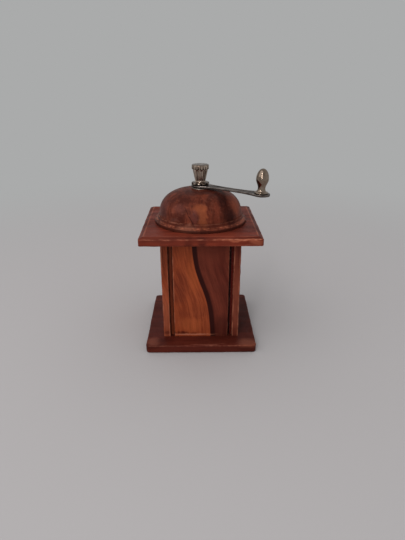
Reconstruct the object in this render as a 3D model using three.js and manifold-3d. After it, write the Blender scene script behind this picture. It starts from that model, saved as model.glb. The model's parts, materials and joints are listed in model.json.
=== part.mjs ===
// A hand cranked spice mill: a grooved wooden column between two square boards, with a turned
// wooden lid, a steel grinder inside and a nickelled crank on top.
// Millimetres, +Z up. The mill stands on z = 0, and the origin is under the middle of its outer box.
import * as THREE from 'three';
import { mergeVertices } from 'three/addons/utils/BufferGeometryUtils.js';
import Module from 'manifold-3d';

const wasm = await Module();
wasm.setup();

// Clearances, cutting and facets
const runningGap = 0.3; // between pieces that turn, slide or are cut to fit each other
const overrun = 1; // how far a cutter reaches past the face that it opens
const mergeTolerance = 0.0001;
const wideSides = 48; // facets round the lid, the bores and the boards' holes
const mediumSides = 30; // facets round the knob and the crank
const narrowSides = 16; // facets round screws, pins and small bores
const cornerSteps = 4; // facets in a board's rounded corner
const edgeSteps = 3; // facets in a board's rounded edge
const straight = Math.PI; // half a turn
const fullTurn = 2 * straight;

// Base board
const baseWidth = 93;
const baseThickness = 7.2;
const baseCornerRadius = 3.2;
const baseEdgeRadius = 1;

// Column
const columnWidth = 64.5;
const columnHeight = 88.9;
const columnArris = 0.8; // chamfer down each outer corner
const postWidth = 5.6; // corner post left beside each groove
const grooveWidth = 3.8;
const grooveDepth = 3;
const hopperRadius = 22;
const funnelRise = 10.5; // height of the slope from the grinder up to the hopper's wall

// Top board
const topWidth = 94.4;
const topFace = 5.3; // upright face under the bevel
const topBevelRun = 3.3;
const topBevelRise = 1.5;
const topCornerRadius = 1.6;
const fillerRadius = 25.3;

// Lid, turned from one block
const flangeRadius = 38.3;
const flangeRim = 2.9;
const flangeArris = 0.4; // at its lower edge
const flangeRoundRun = 1.4; // rounding of its upper edge
const flangeRoundRise = 0.9;
const coveRun = 1.5; // hollow turned between the flange and the dome's foot
const coveRise = 2.7;
const filletFace = 0.25; // small step over the cove
const filletArris = 0.25;
const mouldingSteps = 3;
const domeRadius = 34.4;
const domeFoot = 4.2; // height of the dome's widest level over the top board
const domeRise = 23.1;
const domePower = 2.6; // 2 is an ellipse, more is squarer in the shoulder
const domeSteps = 9;
const spigotLength = 6;
const spigotWall = 4;
const hollowWall = 9.6; // wood left over the hollow, at the crown
const hollowRise = 14;
const hollowSteps = 5;
const crownRadius = 7.6; // small flat turned on the crown for the bearing plate

// Bearing plate on the crown, with its two nails
const bearingRadius = 7;
const bearingThickness = 0.5;
const nailOffset = 5.7;
const nailHeadRadius = 0.95;
const nailHeadThickness = 0.3;
const nailShankRadius = 0.45;
const nailLength = 6;
const nailTip = 1;

// Drive shaft
const shaftWidth = 5; // across the flats of the square
const threadRadius = 2.5;
const threadLength = 9.8;
const threadChamfer = 0.5;
const journalRadius = 2.5;
const journalBelowBridge = 1.2;

// Crank
const crankThrow = 52.3;
const crankRestTurn = -27.5; // degrees about the shaft, as the crank was left
const crankSlope = 2.4; // degrees down from the hub
const crankThickness = 1.6;
const hubRadius = 7.4;
const hubBossRadius = 4.5;
const crankWaist = 6.8;
const crankEndRadius = 6.9;
const bendOffset = 6; // where the arm turns down, from the shaft
const waistStartShare = 0.42; // along the throw
const waistEndShare = 0.58;
const hubLeaveShare = 0.3; // of a half turn, where the arm's edge leaves the hub
const endLeaveShare = 0.3;
const crankBorder = 1.5; // raised edge round the arm's sunk panel
const crankSink = 0.35;

// Adjusting nut
const nutFootRadius = 7.3;
const nutFootThickness = 1.3;
const nutNeckRadius = 4.25;
const nutNeckHeight = 2.7;
const nutTaperRadius = 6.3;
const nutTaperHeight = 12.3;
const nutCapRadius = 7;
const nutCapLip = 0.35;
const nutCapBand = 2.7;
const nutCapRounding = 0.75;
const nutRoundingShare = 0.7; // of the rise from the band to the middle of the cap
const nutHeight = 16.15;
const nutFlutes = 10;
const nutFluteDepth = 0.4;
const nutLobeDepth = 0.6;
const nutKnurls = 30;
const nutKnurlDepth = 0.35;
const threadPitch = 0.8;
const adjustTurns = 1.5; // from coarsest to finest

// Knob and its rivet
const knobRadius = 4.9;
const knobFlareRadius = 5.4;
const knobNeckRadius = 2.9;
const knobFlareLip = 0.7;
const knobNeckHeight = 4;
const knobBellyHeight = 10.9;
const knobHeight = 18.8;
const knobSteps = 6;
const rivetRadius = 1.5;
const rivetTailRadius = 2.9;
const rivetTailThickness = 0.8;
const rivetShoulderRadius = 2.3;
const rivetShoulderHeight = 0.7;
const rivetHeadRadius = 2.1;
const rivetHeadThickness = 1.2;
const rivetHeadFoot = 9;

// Grinder
const flangeSeatHeight = 8; // from the column's foot up to the stator's seat
const statorFlangeRadius = 20.4;
const statorFlangeThickness = 2;
const statorRadius = 15;
const statorHeight = 18; // over the flange
const statorToothDepth = 0.9;
const statorTeeth = 24;
const statorThroatRadius = 13.6;
const statorThroatHeight = 6.8; // from the flange's underside up to where the cone starts
const statorMouthRadius = 9.2;
const rotorRibs = 14;
const rotorRibDepth = 1.3;
const rotorTwist = 50; // degrees from foot to top
const burrGap = 0.8; // between the burrs at the coarsest setting
const burrSteps = 5;
const bridgeLength = 38;
const bridgeWidth = 9;
const bridgeThickness = 1.6;
const bridgeEndChamfer = 2;
const seatRadius = 6; // thrust washer under the burr
const seatThickness = 0.8;
const collarRadius = 4.6;
const collarThickness = 1;
const springRadius = 4.4;
const springWire = 0.9;
const springCoils = 3;
const springSpace = 3.9; // between the bridge and the thrust washer
const springSteps = 8;
const springSides = 5;

// Screws and dowels
const baseScrewOffset = 25; // from the mill's axis, along X and along Y
const baseScrewHeadRadius = 3.6;
const baseScrewHeadHeight = 2.4;
const baseScrewRadius = 1.75;
const baseScrewLength = 26;
const baseScrewSink = 0.3; // head below the board's face
const bridgeScrewHeadRadius = 2.4;
const bridgeScrewHeadHeight = 1.5;
const bridgeScrewRadius = 1.2;
const bridgeScrewLength = 12;
const slotWidth = 0.9;
const slotDepth = 0.7;
const screwTip = 1.5;
const dowelOffset = 25.5;
const dowelRadius = 3;
const dowelLength = 19;
const dowelInBoard = 4.6;
const dowelChamfer = 0.5;

// Heights, from the table up
const columnFoot = baseThickness;
const columnTop = columnFoot + columnHeight;
const boardTop = columnTop + topFace + topBevelRise;
const crownHeight = boardTop + domeFoot + domeRise - domeDrop(crownRadius);
const bearingTop = crownHeight + bearingThickness;
const bossFoot = bearingTop + runningGap;
const hubFoot = bossFoot + runningGap;
const hubTop = hubFoot + crankThickness;
const nutFoot = hubTop + runningGap;
const statorSeat = columnFoot + flangeSeatHeight;
const statorFoot = statorSeat - statorFlangeThickness;
const statorTop = statorSeat + statorHeight;
const burrFoot = statorFoot + statorThroatHeight;
const bridgeFoot = statorFoot - bridgeThickness;
const funnelFoot = statorTop + runningGap;
const funnelTop = funnelFoot + funnelRise;
const seatFoot = statorFoot + springSpace;
const seatTop = seatFoot + seatThickness;
const collarFoot = seatTop + runningGap;
const collarTop = collarFoot + collarThickness;
const rotorFoot = collarTop + runningGap;
const rotorTop = statorTop - runningGap;
const squareTop = hubTop - runningGap;
const spigotFoot = boardTop - spigotLength;

// Radii that follow from those of their neighbours
const squareReach = (shaftWidth / 2) * Math.SQRT2;
const shaftBoreRadius = squareReach + runningGap;
const squareHoleWidth = shaftWidth + 2 * runningGap;
const spigotRadius = fillerRadius - runningGap;
const spigotBore = spigotRadius - spigotWall;
const hollowTop = crownHeight - hollowWall;
const hollowFoot = hollowTop - hollowRise;
const statorSeatRadius = statorFlangeRadius + runningGap;
const statorSleeveRadius = statorRadius + runningGap;
const bridgeScrewOffset = (statorSleeveRadius + statorFlangeRadius) / 2;
const adjustTravel = threadPitch * adjustTurns;

// Depths in the nut, from its foot: the room round the shaft's square, and the thread's bore
const nutSocketDepth = adjustTravel;
const nutBoreDepth = threadLength + adjustTravel + runningGap;

// Where the crank reaches, and what that does to the middle of the outer box
const restTurn = THREE.MathUtils.degToRad(crankRestTurn);
const slope = THREE.MathUtils.degToRad(crankSlope);
const armRun = crankThrow - bendOffset;
const endReach = bendOffset + armRun * Math.cos(slope);
const endDrop = armRun * Math.sin(slope);
const boxRight = Math.max(endReach * Math.cos(restTurn) + crankEndRadius, topWidth / 2);
const axisX = (topWidth / 2 - boxRight) / 2;

// How far the dome has fallen, at this distance from its axis, below its own top.
function domeDrop(radius) {
  const across = radius / domeRadius;
  return domeRise * (1 - Math.pow(1 - Math.pow(across, domePower), 1 / domePower));
}

// Materials
function paintedMaterial(colour, roughness, metalness) {
  return new THREE.MeshStandardMaterial({ color: colour, roughness, metalness });
}
const columnWood = () => paintedMaterial(0x7c3b28, 0.45, 0);
const boardWood = () => paintedMaterial(0x63291e, 0.45, 0);
const lidWood = () => paintedMaterial(0x6c3222, 0.35, 0);
const dowelWood = () => paintedMaterial(0xb98d5c, 0.7, 0);
const nickel = () => paintedMaterial(0x9c9186, 0.25, 1);
const darkSteel = () => paintedMaterial(0x5d5855, 0.4, 1);
const plainSteel = () => paintedMaterial(0x8d8f90, 0.35, 1);

// A closed solid from a geometry, with its shared corners merged and its faces turned outwards.
function solidFrom(geometry) {
  const bare = geometry.clone();
  bare.deleteAttribute('normal');
  bare.deleteAttribute('uv');
  const merged = mergeVertices(bare, mergeTolerance);
  const places = merged.getAttribute('position');
  const kept = [];
  let sixVolumes = 0;
  const a = new THREE.Vector3();
  const b = new THREE.Vector3();
  const c = new THREE.Vector3();
  for (let i = 0; i < merged.index.count; i += 3) {
    const corners = [0, 1, 2].map((k) => merged.index.getX(i + k));
    if (new Set(corners).size < 3) continue;
    a.fromBufferAttribute(places, corners[0]);
    b.fromBufferAttribute(places, corners[1]);
    c.fromBufferAttribute(places, corners[2]);
    sixVolumes += a.dot(b.cross(c));
    kept.push(corners);
  }
  const outward = kept.map(([p, q, r]) => (sixVolumes > 0 ? [p, q, r] : [p, r, q]));
  return new wasm.Manifold(new wasm.Mesh({
    numProp: 3,
    vertProperties: new Float32Array(places.array),
    triVerts: new Uint32Array(outward.flat()),
  }));
}

function geometryFrom(solid) {
  const mesh = solid.getMesh();
  const geometry = new THREE.BufferGeometry();
  geometry.setAttribute('position', new THREE.BufferAttribute(mesh.vertProperties, 3));
  geometry.setIndex(new THREE.BufferAttribute(mesh.triVerts, 1));
  geometry.computeVertexNormals();
  return geometry;
}

function cut(solid, cutters) {
  return cutters.reduce((left, cutter) => left.subtract(cutter), solid);
}

// A body turned about the Z axis from an outline of [radius, height] points.
function turned(outline, sides) {
  const points = outline.map(([radius, height]) => new THREE.Vector2(radius, height));
  return new THREE.LatheGeometry(points, sides).rotateX(straight / 2);
}

function upright(radius, foot, top, sides, x = 0, y = 0) {
  const post = turned([[0, foot], [radius, foot], [radius, top], [0, top]], sides);
  return solidFrom(post.translate(x, y, 0));
}

function block(width, depth, foot, top, x = 0, y = 0) {
  const height = top - foot;
  return solidFrom(new THREE.BoxGeometry(width, depth, height).translate(x, y, foot + height / 2));
}

// A closed skin over rings that have the same number of corners, from the lowest ring up.
function lofted(rings) {
  const count = rings[0].length;
  const places = rings.flat();
  const faces = [];
  rings.slice(1).forEach((ring, level) => {
    for (let i = 0; i < count; i += 1) {
      const next = (i + 1) % count;
      const low = level * count;
      const high = low + count;
      faces.push(low + i, low + next, high + next, low + i, high + next, high + i);
    }
  });
  [rings[0], rings[rings.length - 1]].forEach((ring, end) => {
    const start = end * (rings.length - 1) * count;
    const hub = places.length;
    const middle = new THREE.Vector3();
    ring.forEach((corner) => middle.add(corner));
    places.push(middle.divideScalar(count));
    for (let i = 0; i < count; i += 1) {
      const next = (i + 1) % count;
      faces.push(hub, start + (end ? i : next), start + (end ? next : i));
    }
  });
  const geometry = new THREE.BufferGeometry().setFromPoints(places);
  geometry.setIndex(faces);
  return geometry;
}

// One level of a board: a square with rounded corners.
function roundedSquare(half, radius, height) {
  const ring = [];
  for (let corner = 0; corner < 4; corner += 1) {
    for (let step = 0; step <= cornerSteps; step += 1) {
      const angle = (corner + step / cornerSteps) * (straight / 2);
      const middle = (corner + 0.5) * (straight / 2);
      const x = Math.sign(Math.cos(middle)) * (half - radius) + radius * Math.cos(angle);
      const y = Math.sign(Math.sin(middle)) * (half - radius) + radius * Math.sin(angle);
      ring.push(new THREE.Vector3(x, y, height));
    }
  }
  return ring;
}

// One level of a burr: a ring whose radius steps between crest and root.
function toothedRing(crest, root, teeth, turn, height) {
  const ring = [];
  for (let i = 0; i < 2 * teeth; i += 1) {
    const angle = turn + (i * straight) / teeth;
    const radius = i % 2 ? root : crest;
    ring.push(new THREE.Vector3(radius * Math.cos(angle), radius * Math.sin(angle), height));
  }
  return ring;
}

// The four corners of a square pattern at this offset from the axis.
function fourCorners(offset) {
  return [[-1, -1], [1, -1], [1, 1], [-1, 1]].map(([x, y]) => [x * offset, y * offset]);
}

// Wooden pieces

function baseScrewRoom([x, y]) {
  const headTop = baseScrewSink + baseScrewHeadHeight;
  const wide = baseScrewHeadRadius + runningGap;
  const narrow = baseScrewRadius + runningGap;
  const tip = baseScrewSink + baseScrewLength + runningGap;
  const outline = [
    [0, -overrun],
    [wide, -overrun],
    [wide, baseScrewSink],
    [narrow, headTop],
    [narrow, tip],
    [0, tip],
  ];
  return solidFrom(turned(outline, narrowSides).translate(x, y, 0));
}

function baseBoard() {
  const half = baseWidth / 2;
  const rings = [];
  for (const upper of [false, true]) {
    for (let step = 0; step <= edgeSteps; step += 1) {
      const angle = ((upper ? step : edgeSteps - step) / edgeSteps) * (straight / 2);
      const inset = baseEdgeRadius * (1 - Math.cos(angle));
      const lift = baseEdgeRadius * (1 - Math.sin(angle));
      const height = upper ? baseThickness - lift : lift;
      rings.push(roundedSquare(half - inset, baseCornerRadius - inset, height));
    }
  }
  const outlet = upright(statorSeatRadius, -overrun, baseThickness + overrun, wideSides);
  return cut(solidFrom(lofted(rings)), [outlet, ...fourCorners(baseScrewOffset).map(baseScrewRoom)]);
}

function columnOutline() {
  const half = columnWidth / 2;
  const side = [
    [half - columnArris, -half],
    [half, columnArris - half],
    [half, postWidth - half],
    [half - grooveDepth, postWidth - half],
    [half - grooveDepth, postWidth + grooveWidth - half],
    [half, postWidth + grooveWidth - half],
    [half, half - postWidth - grooveWidth],
    [half - grooveDepth, half - postWidth - grooveWidth],
    [half - grooveDepth, half - postWidth],
    [half, half - postWidth],
  ];
  const outline = [];
  for (let turn = 0; turn < 4; turn += 1) {
    side.forEach(([x, y]) => {
      const corner = new THREE.Vector2(x, y);
      outline.push(corner.rotateAround(new THREE.Vector2(), (turn * straight) / 2));
    });
  }
  return outline;
}

function dowelRoom([x, y]) {
  const foot = columnTop + dowelInBoard - dowelLength;
  const radius = dowelRadius + runningGap;
  return upright(radius, foot - runningGap, columnTop + dowelInBoard + runningGap, narrowSides, x, y);
}

function bridgeScrewRoom(x) {
  const radius = bridgeScrewRadius + runningGap;
  const tip = bridgeFoot + bridgeScrewLength + runningGap;
  return upright(radius, bridgeFoot - overrun, tip, narrowSides, x, 0);
}

function column() {
  const shape = new THREE.Shape(columnOutline());
  const stock = new THREE.ExtrudeGeometry(shape, { depth: columnHeight, bevelEnabled: false });
  const bore = [
    [0, columnFoot - overrun],
    [statorSeatRadius, columnFoot - overrun],
    [statorSeatRadius, statorSeat],
    [statorSleeveRadius, statorSeat],
    [statorSleeveRadius, funnelFoot],
    [hopperRadius, funnelTop],
    [hopperRadius, columnTop + overrun],
    [0, columnTop + overrun],
  ];
  return cut(solidFrom(stock.translate(0, 0, columnFoot)), [
    solidFrom(turned(bore, wideSides)),
    ...fourCorners(baseScrewOffset).map(baseScrewRoom),
    ...fourCorners(dowelOffset).map(dowelRoom),
    bridgeScrewRoom(bridgeScrewOffset),
    bridgeScrewRoom(-bridgeScrewOffset),
  ]);
}

function topBoard() {
  const half = topWidth / 2;
  const rings = [
    roundedSquare(half, topCornerRadius, columnTop),
    roundedSquare(half, topCornerRadius, columnTop + topFace),
    roundedSquare(half - topBevelRun, topCornerRadius, boardTop),
  ];
  const filler = upright(fillerRadius, columnTop - overrun, boardTop + overrun, wideSides);
  return cut(solidFrom(lofted(rings)), [filler, ...fourCorners(dowelOffset).map(dowelRoom)]);
}

function lidOutline() {
  const rimTop = boardTop + flangeRim;
  const roundRadius = flangeRadius - flangeRoundRun;
  const filletRadius = roundRadius - coveRun;
  const filletFoot = rimTop + coveRise;
  const filletTop = filletFoot + filletFace + filletArris;
  const points = [
    [spigotBore, spigotFoot],
    [spigotRadius, spigotFoot],
    [spigotRadius, boardTop],
    [flangeRadius - flangeArris, boardTop],
    [flangeRadius, boardTop + flangeArris],
  ];
  for (let step = 0; step <= mouldingSteps; step += 1) {
    const angle = (step / mouldingSteps) * (straight / 2);
    const out = roundRadius + flangeRoundRun * Math.cos(angle);
    points.push([out, rimTop - flangeRoundRise * (1 - Math.sin(angle))]);
  }
  for (let step = 1; step <= mouldingSteps; step += 1) {
    const angle = (step / mouldingSteps) * (straight / 2);
    points.push([roundRadius - coveRun * Math.sin(angle), filletFoot - coveRise * Math.cos(angle)]);
  }
  points.push([filletRadius, filletFoot + filletFace], [filletRadius - filletArris, filletTop]);
  const startShare = Math.max(filletTop - boardTop - domeFoot, 0) / domeRise;
  const domeStart = Math.asin(Math.pow(startShare, domePower / 2));
  const domeEnd = Math.acos(Math.pow(crownRadius / domeRadius, domePower / 2));
  for (let step = 0; step <= domeSteps; step += 1) {
    const angle = domeStart + (step / domeSteps) * (domeEnd - domeStart);
    const radius = domeRadius * Math.pow(Math.cos(angle), 2 / domePower);
    points.push([radius, boardTop + domeFoot + domeRise - domeDrop(radius)]);
  }
  points.push([shaftBoreRadius, crownHeight], [shaftBoreRadius, hollowTop]);
  for (let step = 1; step <= hollowSteps; step += 1) {
    const angle = (step / hollowSteps) * (straight / 2);
    const out = shaftBoreRadius + (spigotBore - shaftBoreRadius) * Math.sin(angle);
    points.push([out, hollowFoot + hollowRise * Math.cos(angle)]);
  }
  points.push(points[0]);
  return points;
}

function nailRoom(x) {
  const radius = nailShankRadius + runningGap;
  return upright(radius, bearingTop - nailLength - runningGap, bearingTop + overrun, narrowSides, x, 0);
}

function lid() {
  return cut(solidFrom(turned(lidOutline(), wideSides)), [nailRoom(nailOffset), nailRoom(-nailOffset)]);
}

function dowel([x, y]) {
  const top = columnTop + dowelInBoard;
  const foot = top - dowelLength;
  const outline = [
    [0, foot],
    [dowelRadius - dowelChamfer, foot],
    [dowelRadius, foot + dowelChamfer],
    [dowelRadius, top - dowelChamfer],
    [dowelRadius - dowelChamfer, top],
    [0, top],
  ];
  return solidFrom(turned(outline, narrowSides).translate(x, y, 0));
}

// Fasteners

function slot(foot, x, y, reach) {
  return block(2 * reach + 2 * overrun, slotWidth, foot - overrun, foot + slotDepth, x, y);
}

function baseScrew([x, y]) {
  const foot = baseScrewSink;
  const tip = foot + baseScrewLength;
  const outline = [
    [0, foot],
    [baseScrewHeadRadius, foot],
    [baseScrewRadius, foot + baseScrewHeadHeight],
    [baseScrewRadius, tip - screwTip],
    [0, tip],
  ];
  const screw = solidFrom(turned(outline, narrowSides).translate(x, y, 0));
  return cut(screw, [slot(foot, x, y, baseScrewHeadRadius)]);
}

function bridgeScrew(x) {
  const foot = bridgeFoot - bridgeScrewHeadHeight;
  const tip = bridgeFoot + bridgeScrewLength;
  const outline = [
    [0, foot],
    [bridgeScrewHeadRadius, foot],
    [bridgeScrewHeadRadius, bridgeFoot],
    [bridgeScrewRadius, bridgeFoot],
    [bridgeScrewRadius, tip - screwTip],
    [0, tip],
  ];
  const screw = solidFrom(turned(outline, narrowSides).translate(x, 0, 0));
  return cut(screw, [slot(foot, x, 0, bridgeScrewHeadRadius)]);
}

function bearingNail(x) {
  const tip = bearingTop - nailLength;
  const outline = [
    [0, tip],
    [nailShankRadius, tip + nailTip],
    [nailShankRadius, bearingTop],
    [nailHeadRadius, bearingTop],
    [nailHeadRadius, bearingTop + nailHeadThickness / 2],
    [nailHeadRadius - nailHeadThickness / 2, bearingTop + nailHeadThickness],
    [0, bearingTop + nailHeadThickness],
  ];
  return solidFrom(turned(outline, narrowSides).translate(x, 0, 0));
}

function bearingPlate() {
  return cut(upright(bearingRadius, crownHeight, bearingTop, mediumSides), [
    upright(shaftBoreRadius, crownHeight - overrun, bearingTop + overrun, mediumSides),
    nailRoom(nailOffset),
    nailRoom(-nailOffset),
  ]);
}

// Grinder

function statorCone(height) {
  const share = (height - burrFoot) / (statorTop - burrFoot);
  return statorThroatRadius + share * (statorMouthRadius - statorThroatRadius);
}

function stator() {
  const sleeve = upright(statorRadius, statorSeat - overrun, statorTop, wideSides);
  const plate = upright(statorFlangeRadius, statorFoot, statorSeat, wideSides);
  const rings = [];
  for (let step = 0; step <= burrSteps; step += 1) {
    const height = burrFoot + (step / burrSteps) * (statorTop + overrun - burrFoot);
    const crest = statorCone(height);
    rings.push(toothedRing(crest, crest + statorToothDepth, statorTeeth, 0, height));
  }
  return cut(sleeve.add(plate), [
    solidFrom(lofted(rings)),
    upright(statorThroatRadius, statorFoot - overrun, burrFoot + mergeTolerance, wideSides),
    bridgeScrewRoom(bridgeScrewOffset),
    bridgeScrewRoom(-bridgeScrewOffset),
  ]);
}

function rotor() {
  const rings = [];
  for (let step = 0; step <= burrSteps; step += 1) {
    const share = step / burrSteps;
    const height = rotorFoot + share * (rotorTop - rotorFoot);
    const crest = Math.min(statorCone(height), statorThroatRadius) - burrGap;
    const turn = share * THREE.MathUtils.degToRad(rotorTwist);
    rings.push(toothedRing(crest, crest - rotorRibDepth, rotorRibs, turn, height));
  }
  const hole = block(squareHoleWidth, squareHoleWidth, rotorFoot - overrun, rotorTop + overrun);
  return cut(solidFrom(lofted(rings)), [hole]);
}

function bridge() {
  const halfLength = bridgeLength / 2;
  const halfWidth = bridgeWidth / 2;
  const outline = [
    [bridgeEndChamfer - halfLength, -halfWidth],
    [halfLength - bridgeEndChamfer, -halfWidth],
    [halfLength, bridgeEndChamfer - halfWidth],
    [halfLength, halfWidth - bridgeEndChamfer],
    [halfLength - bridgeEndChamfer, halfWidth],
    [bridgeEndChamfer - halfLength, halfWidth],
    [-halfLength, halfWidth - bridgeEndChamfer],
    [-halfLength, bridgeEndChamfer - halfWidth],
  ];
  const shape = new THREE.Shape(outline.map(([x, y]) => new THREE.Vector2(x, y)));
  const strip = new THREE.ExtrudeGeometry(shape, { depth: bridgeThickness, bevelEnabled: false });
  return cut(solidFrom(strip.translate(0, 0, bridgeFoot)), [
    upright(journalRadius + runningGap, bridgeFoot - overrun, statorFoot + overrun, narrowSides),
    bridgeScrewRoom(bridgeScrewOffset),
    bridgeScrewRoom(-bridgeScrewOffset),
  ]);
}

function thrustSeat() {
  const hole = upright(journalRadius + runningGap, seatFoot - overrun, seatTop + overrun, narrowSides);
  return cut(upright(seatRadius, seatFoot, seatTop, mediumSides), [hole]);
}

function rotorCollar() {
  const hole = upright(journalRadius + runningGap, collarFoot - overrun, collarTop + overrun, narrowSides);
  return cut(upright(collarRadius, collarFoot, collarTop, narrowSides), [hole]);
}

class SpringPath extends THREE.Curve {
  getPoint(share, target = new THREE.Vector3()) {
    const foot = statorFoot + runningGap + springWire / 2;
    const top = seatFoot - runningGap - springWire / 2;
    const angle = share * springCoils * fullTurn;
    const height = foot + share * (top - foot);
    return target.set(springRadius * Math.cos(angle), springRadius * Math.sin(angle), height);
  }
}

function rotorSpring() {
  const section = new THREE.Shape();
  for (let side = 0; side < springSides; side += 1) {
    const angle = (side / springSides) * fullTurn;
    const x = (springWire / 2) * Math.cos(angle);
    const y = (springWire / 2) * Math.sin(angle);
    if (side === 0) section.moveTo(x, y);
    else section.lineTo(x, y);
  }
  section.closePath();
  const steps = springSteps * springCoils;
  const wire = new THREE.ExtrudeGeometry(section, { steps, extrudePath: new SpringPath() });
  return solidFrom(wire);
}

// Shaft, crank, nut and knob, drawn with the crank along +X

function shaft() {
  const foot = bridgeFoot - journalBelowBridge;
  const threadTop = nutFoot + threadLength;
  const journal = upright(journalRadius, foot, rotorFoot + overrun, narrowSides);
  const square = block(shaftWidth, shaftWidth, rotorFoot, squareTop);
  const thread = [
    [0, squareTop - overrun],
    [threadRadius - runningGap / 2, squareTop - overrun],
    [threadRadius - runningGap / 2, threadTop - threadChamfer],
    [threadRadius - runningGap / 2 - threadChamfer, threadTop],
    [0, threadTop],
  ];
  return journal.add(square).add(solidFrom(turned(thread, narrowSides)));
}

// The arm's outline seen from above, inset by a border, between two distances along the throw.
function armShape(inset, foot, end) {
  const hub = hubRadius - inset;
  const tip = crankEndRadius - inset;
  const waist = crankWaist / 2 - inset;
  const hubAngle = hubLeaveShare * straight;
  const tipAngle = (1 - endLeaveShare) * straight;
  const waistStart = crankThrow * waistStartShare;
  const waistEnd = crankThrow * waistEndShare;
  const hubX = foot + hub * Math.cos(hubAngle);
  const hubY = hub * Math.sin(hubAngle);
  const tipX = end + tip * Math.cos(tipAngle);
  const tipY = tip * Math.sin(tipAngle);
  const hubEase = (waistStart - hubX) / 2;
  const tipEase = (tipX - waistEnd) / 2;
  const shape = new THREE.Shape();
  shape.absarc(foot, 0, hub, hubAngle, fullTurn - hubAngle, false);
  shape.bezierCurveTo(
    hubX + hubEase * Math.sin(hubAngle), -hubY + hubEase * Math.cos(hubAngle),
    waistStart - hubEase, -waist, waistStart, -waist,
  );
  shape.lineTo(waistEnd, -waist);
  shape.bezierCurveTo(
    waistEnd + tipEase, -waist,
    tipX - tipEase * Math.sin(tipAngle), -tipY - tipEase * Math.cos(tipAngle), tipX, -tipY,
  );
  shape.absarc(end, 0, tip, -tipAngle, tipAngle, false);
  shape.bezierCurveTo(
    tipX - tipEase * Math.sin(tipAngle), tipY + tipEase * Math.cos(tipAngle),
    waistEnd + tipEase, waist, waistEnd, waist,
  );
  shape.lineTo(waistStart, waist);
  shape.bezierCurveTo(
    waistStart - hubEase, waist,
    hubX + hubEase * Math.sin(hubAngle), hubY - hubEase * Math.cos(hubAngle), hubX, hubY,
  );
  return shape;
}

function armSlab(inset, foot, top) {
  const settings = { depth: top - foot, bevelEnabled: false, curveSegments: mediumSides / 3 };
  const slab = new THREE.ExtrudeGeometry(armShape(inset, 0, crankThrow), settings);
  return solidFrom(slab.translate(0, 0, foot));
}

// The sunk panel between the hub and the knob's seat.
function armSink() {
  const panel = armSlab(crankBorder, hubTop - crankSink, hubTop + overrun);
  return cut(panel, [
    upright(hubRadius, hubFoot, hubTop + 2 * overrun, mediumSides),
    upright(crankEndRadius, hubFoot, hubTop + 2 * overrun, mediumSides, crankThrow),
  ]);
}

function besideBend(inner) {
  const reach = crankThrow + crankEndRadius + hubRadius;
  const x = inner ? bendOffset - reach / 2 : bendOffset + reach / 2;
  return block(reach, 2 * hubRadius + 2 * overrun, hubFoot - overrun, hubTop + overrun, x);
}

// Into the frame of the sloping part of the arm, whose origin is at its knob's seat.
function placeAtArmEnd() {
  const place = new THREE.Matrix4().makeTranslation(endReach, 0, hubTop - endDrop);
  return place.multiply(new THREE.Matrix4().makeRotationY(slope));
}

function crank() {
  const flat = cut(armSlab(0, hubFoot, hubTop), [armSink()]);
  const hub = flat.intersect(besideBend(true));
  const arm = geometryFrom(flat.intersect(besideBend(false)));
  arm.translate(-bendOffset, 0, -hubTop).rotateY(slope).translate(bendOffset, 0, hubTop);
  const boss = upright(hubBossRadius, bossFoot, hubFoot + crankThickness / 2, mediumSides);
  const eye = turned([
    [0, -crankThickness - overrun],
    [rivetRadius + runningGap, -crankThickness - overrun],
    [rivetRadius + runningGap, overrun],
    [0, overrun],
  ], narrowSides).applyMatrix4(placeAtArmEnd());
  return cut(hub.add(solidFrom(arm)).add(boss), [
    block(squareHoleWidth, squareHoleWidth, bossFoot - overrun, hubTop + overrun),
    solidFrom(eye),
  ]);
}

// Scallops a turned body between two heights by drawing in every other facet's corner.
function scalloped(geometry, low, high, reach, count, depth) {
  const places = geometry.getAttribute('position');
  for (let i = 0; i < places.count; i += 1) {
    const x = places.getX(i);
    const y = places.getY(i);
    const radius = Math.hypot(x, y);
    if (places.getZ(i) < low || places.getZ(i) > high || radius < reach) continue;
    const wave = (1 - Math.cos(count * Math.atan2(y, x))) / 2;
    const scale = (radius - depth * wave) / radius;
    places.setXY(i, x * scale, y * scale);
  }
  return geometry;
}

function adjustingNut() {
  const socket = squareReach + runningGap;
  const bore = threadRadius + runningGap / 2;
  const bandFoot = nutTaperHeight + nutCapLip;
  const bandTop = bandFoot + nutCapBand;
  const outline = [
    [0, nutBoreDepth],
    [bore, nutBoreDepth],
    [bore, nutSocketDepth],
    [socket, nutSocketDepth],
    [socket, 0],
    [nutFootRadius - nutCapLip, 0],
    [nutFootRadius, nutCapLip],
    [nutFootRadius, nutFootThickness],
    [(nutFootRadius + nutNeckRadius) / 2, (nutFootThickness + nutNeckHeight) / 2],
    [nutNeckRadius, nutNeckHeight],
    [(nutNeckRadius + nutTaperRadius) / 2, (nutNeckHeight + nutTaperHeight) / 2],
    [nutTaperRadius, nutTaperHeight],
    [nutCapRadius, bandFoot],
    [nutCapRadius, bandTop],
    [nutCapRadius - nutCapRounding, bandTop + (nutHeight - bandTop) * nutRoundingShare],
    [0, nutHeight],
  ];
  const body = turned(outline, 2 * nutKnurls);
  const wall = (nutNeckRadius + bore) / 2;
  scalloped(body, nutNeckHeight, nutTaperHeight - nutCapLip, wall, nutFlutes, nutFluteDepth);
  scalloped(body, 0, nutFootThickness, nutNeckRadius, nutFlutes, nutLobeDepth);
  scalloped(body, bandFoot, bandTop, nutTaperRadius, nutKnurls, nutKnurlDepth);
  return solidFrom(body.translate(0, 0, nutFoot));
}

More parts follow.
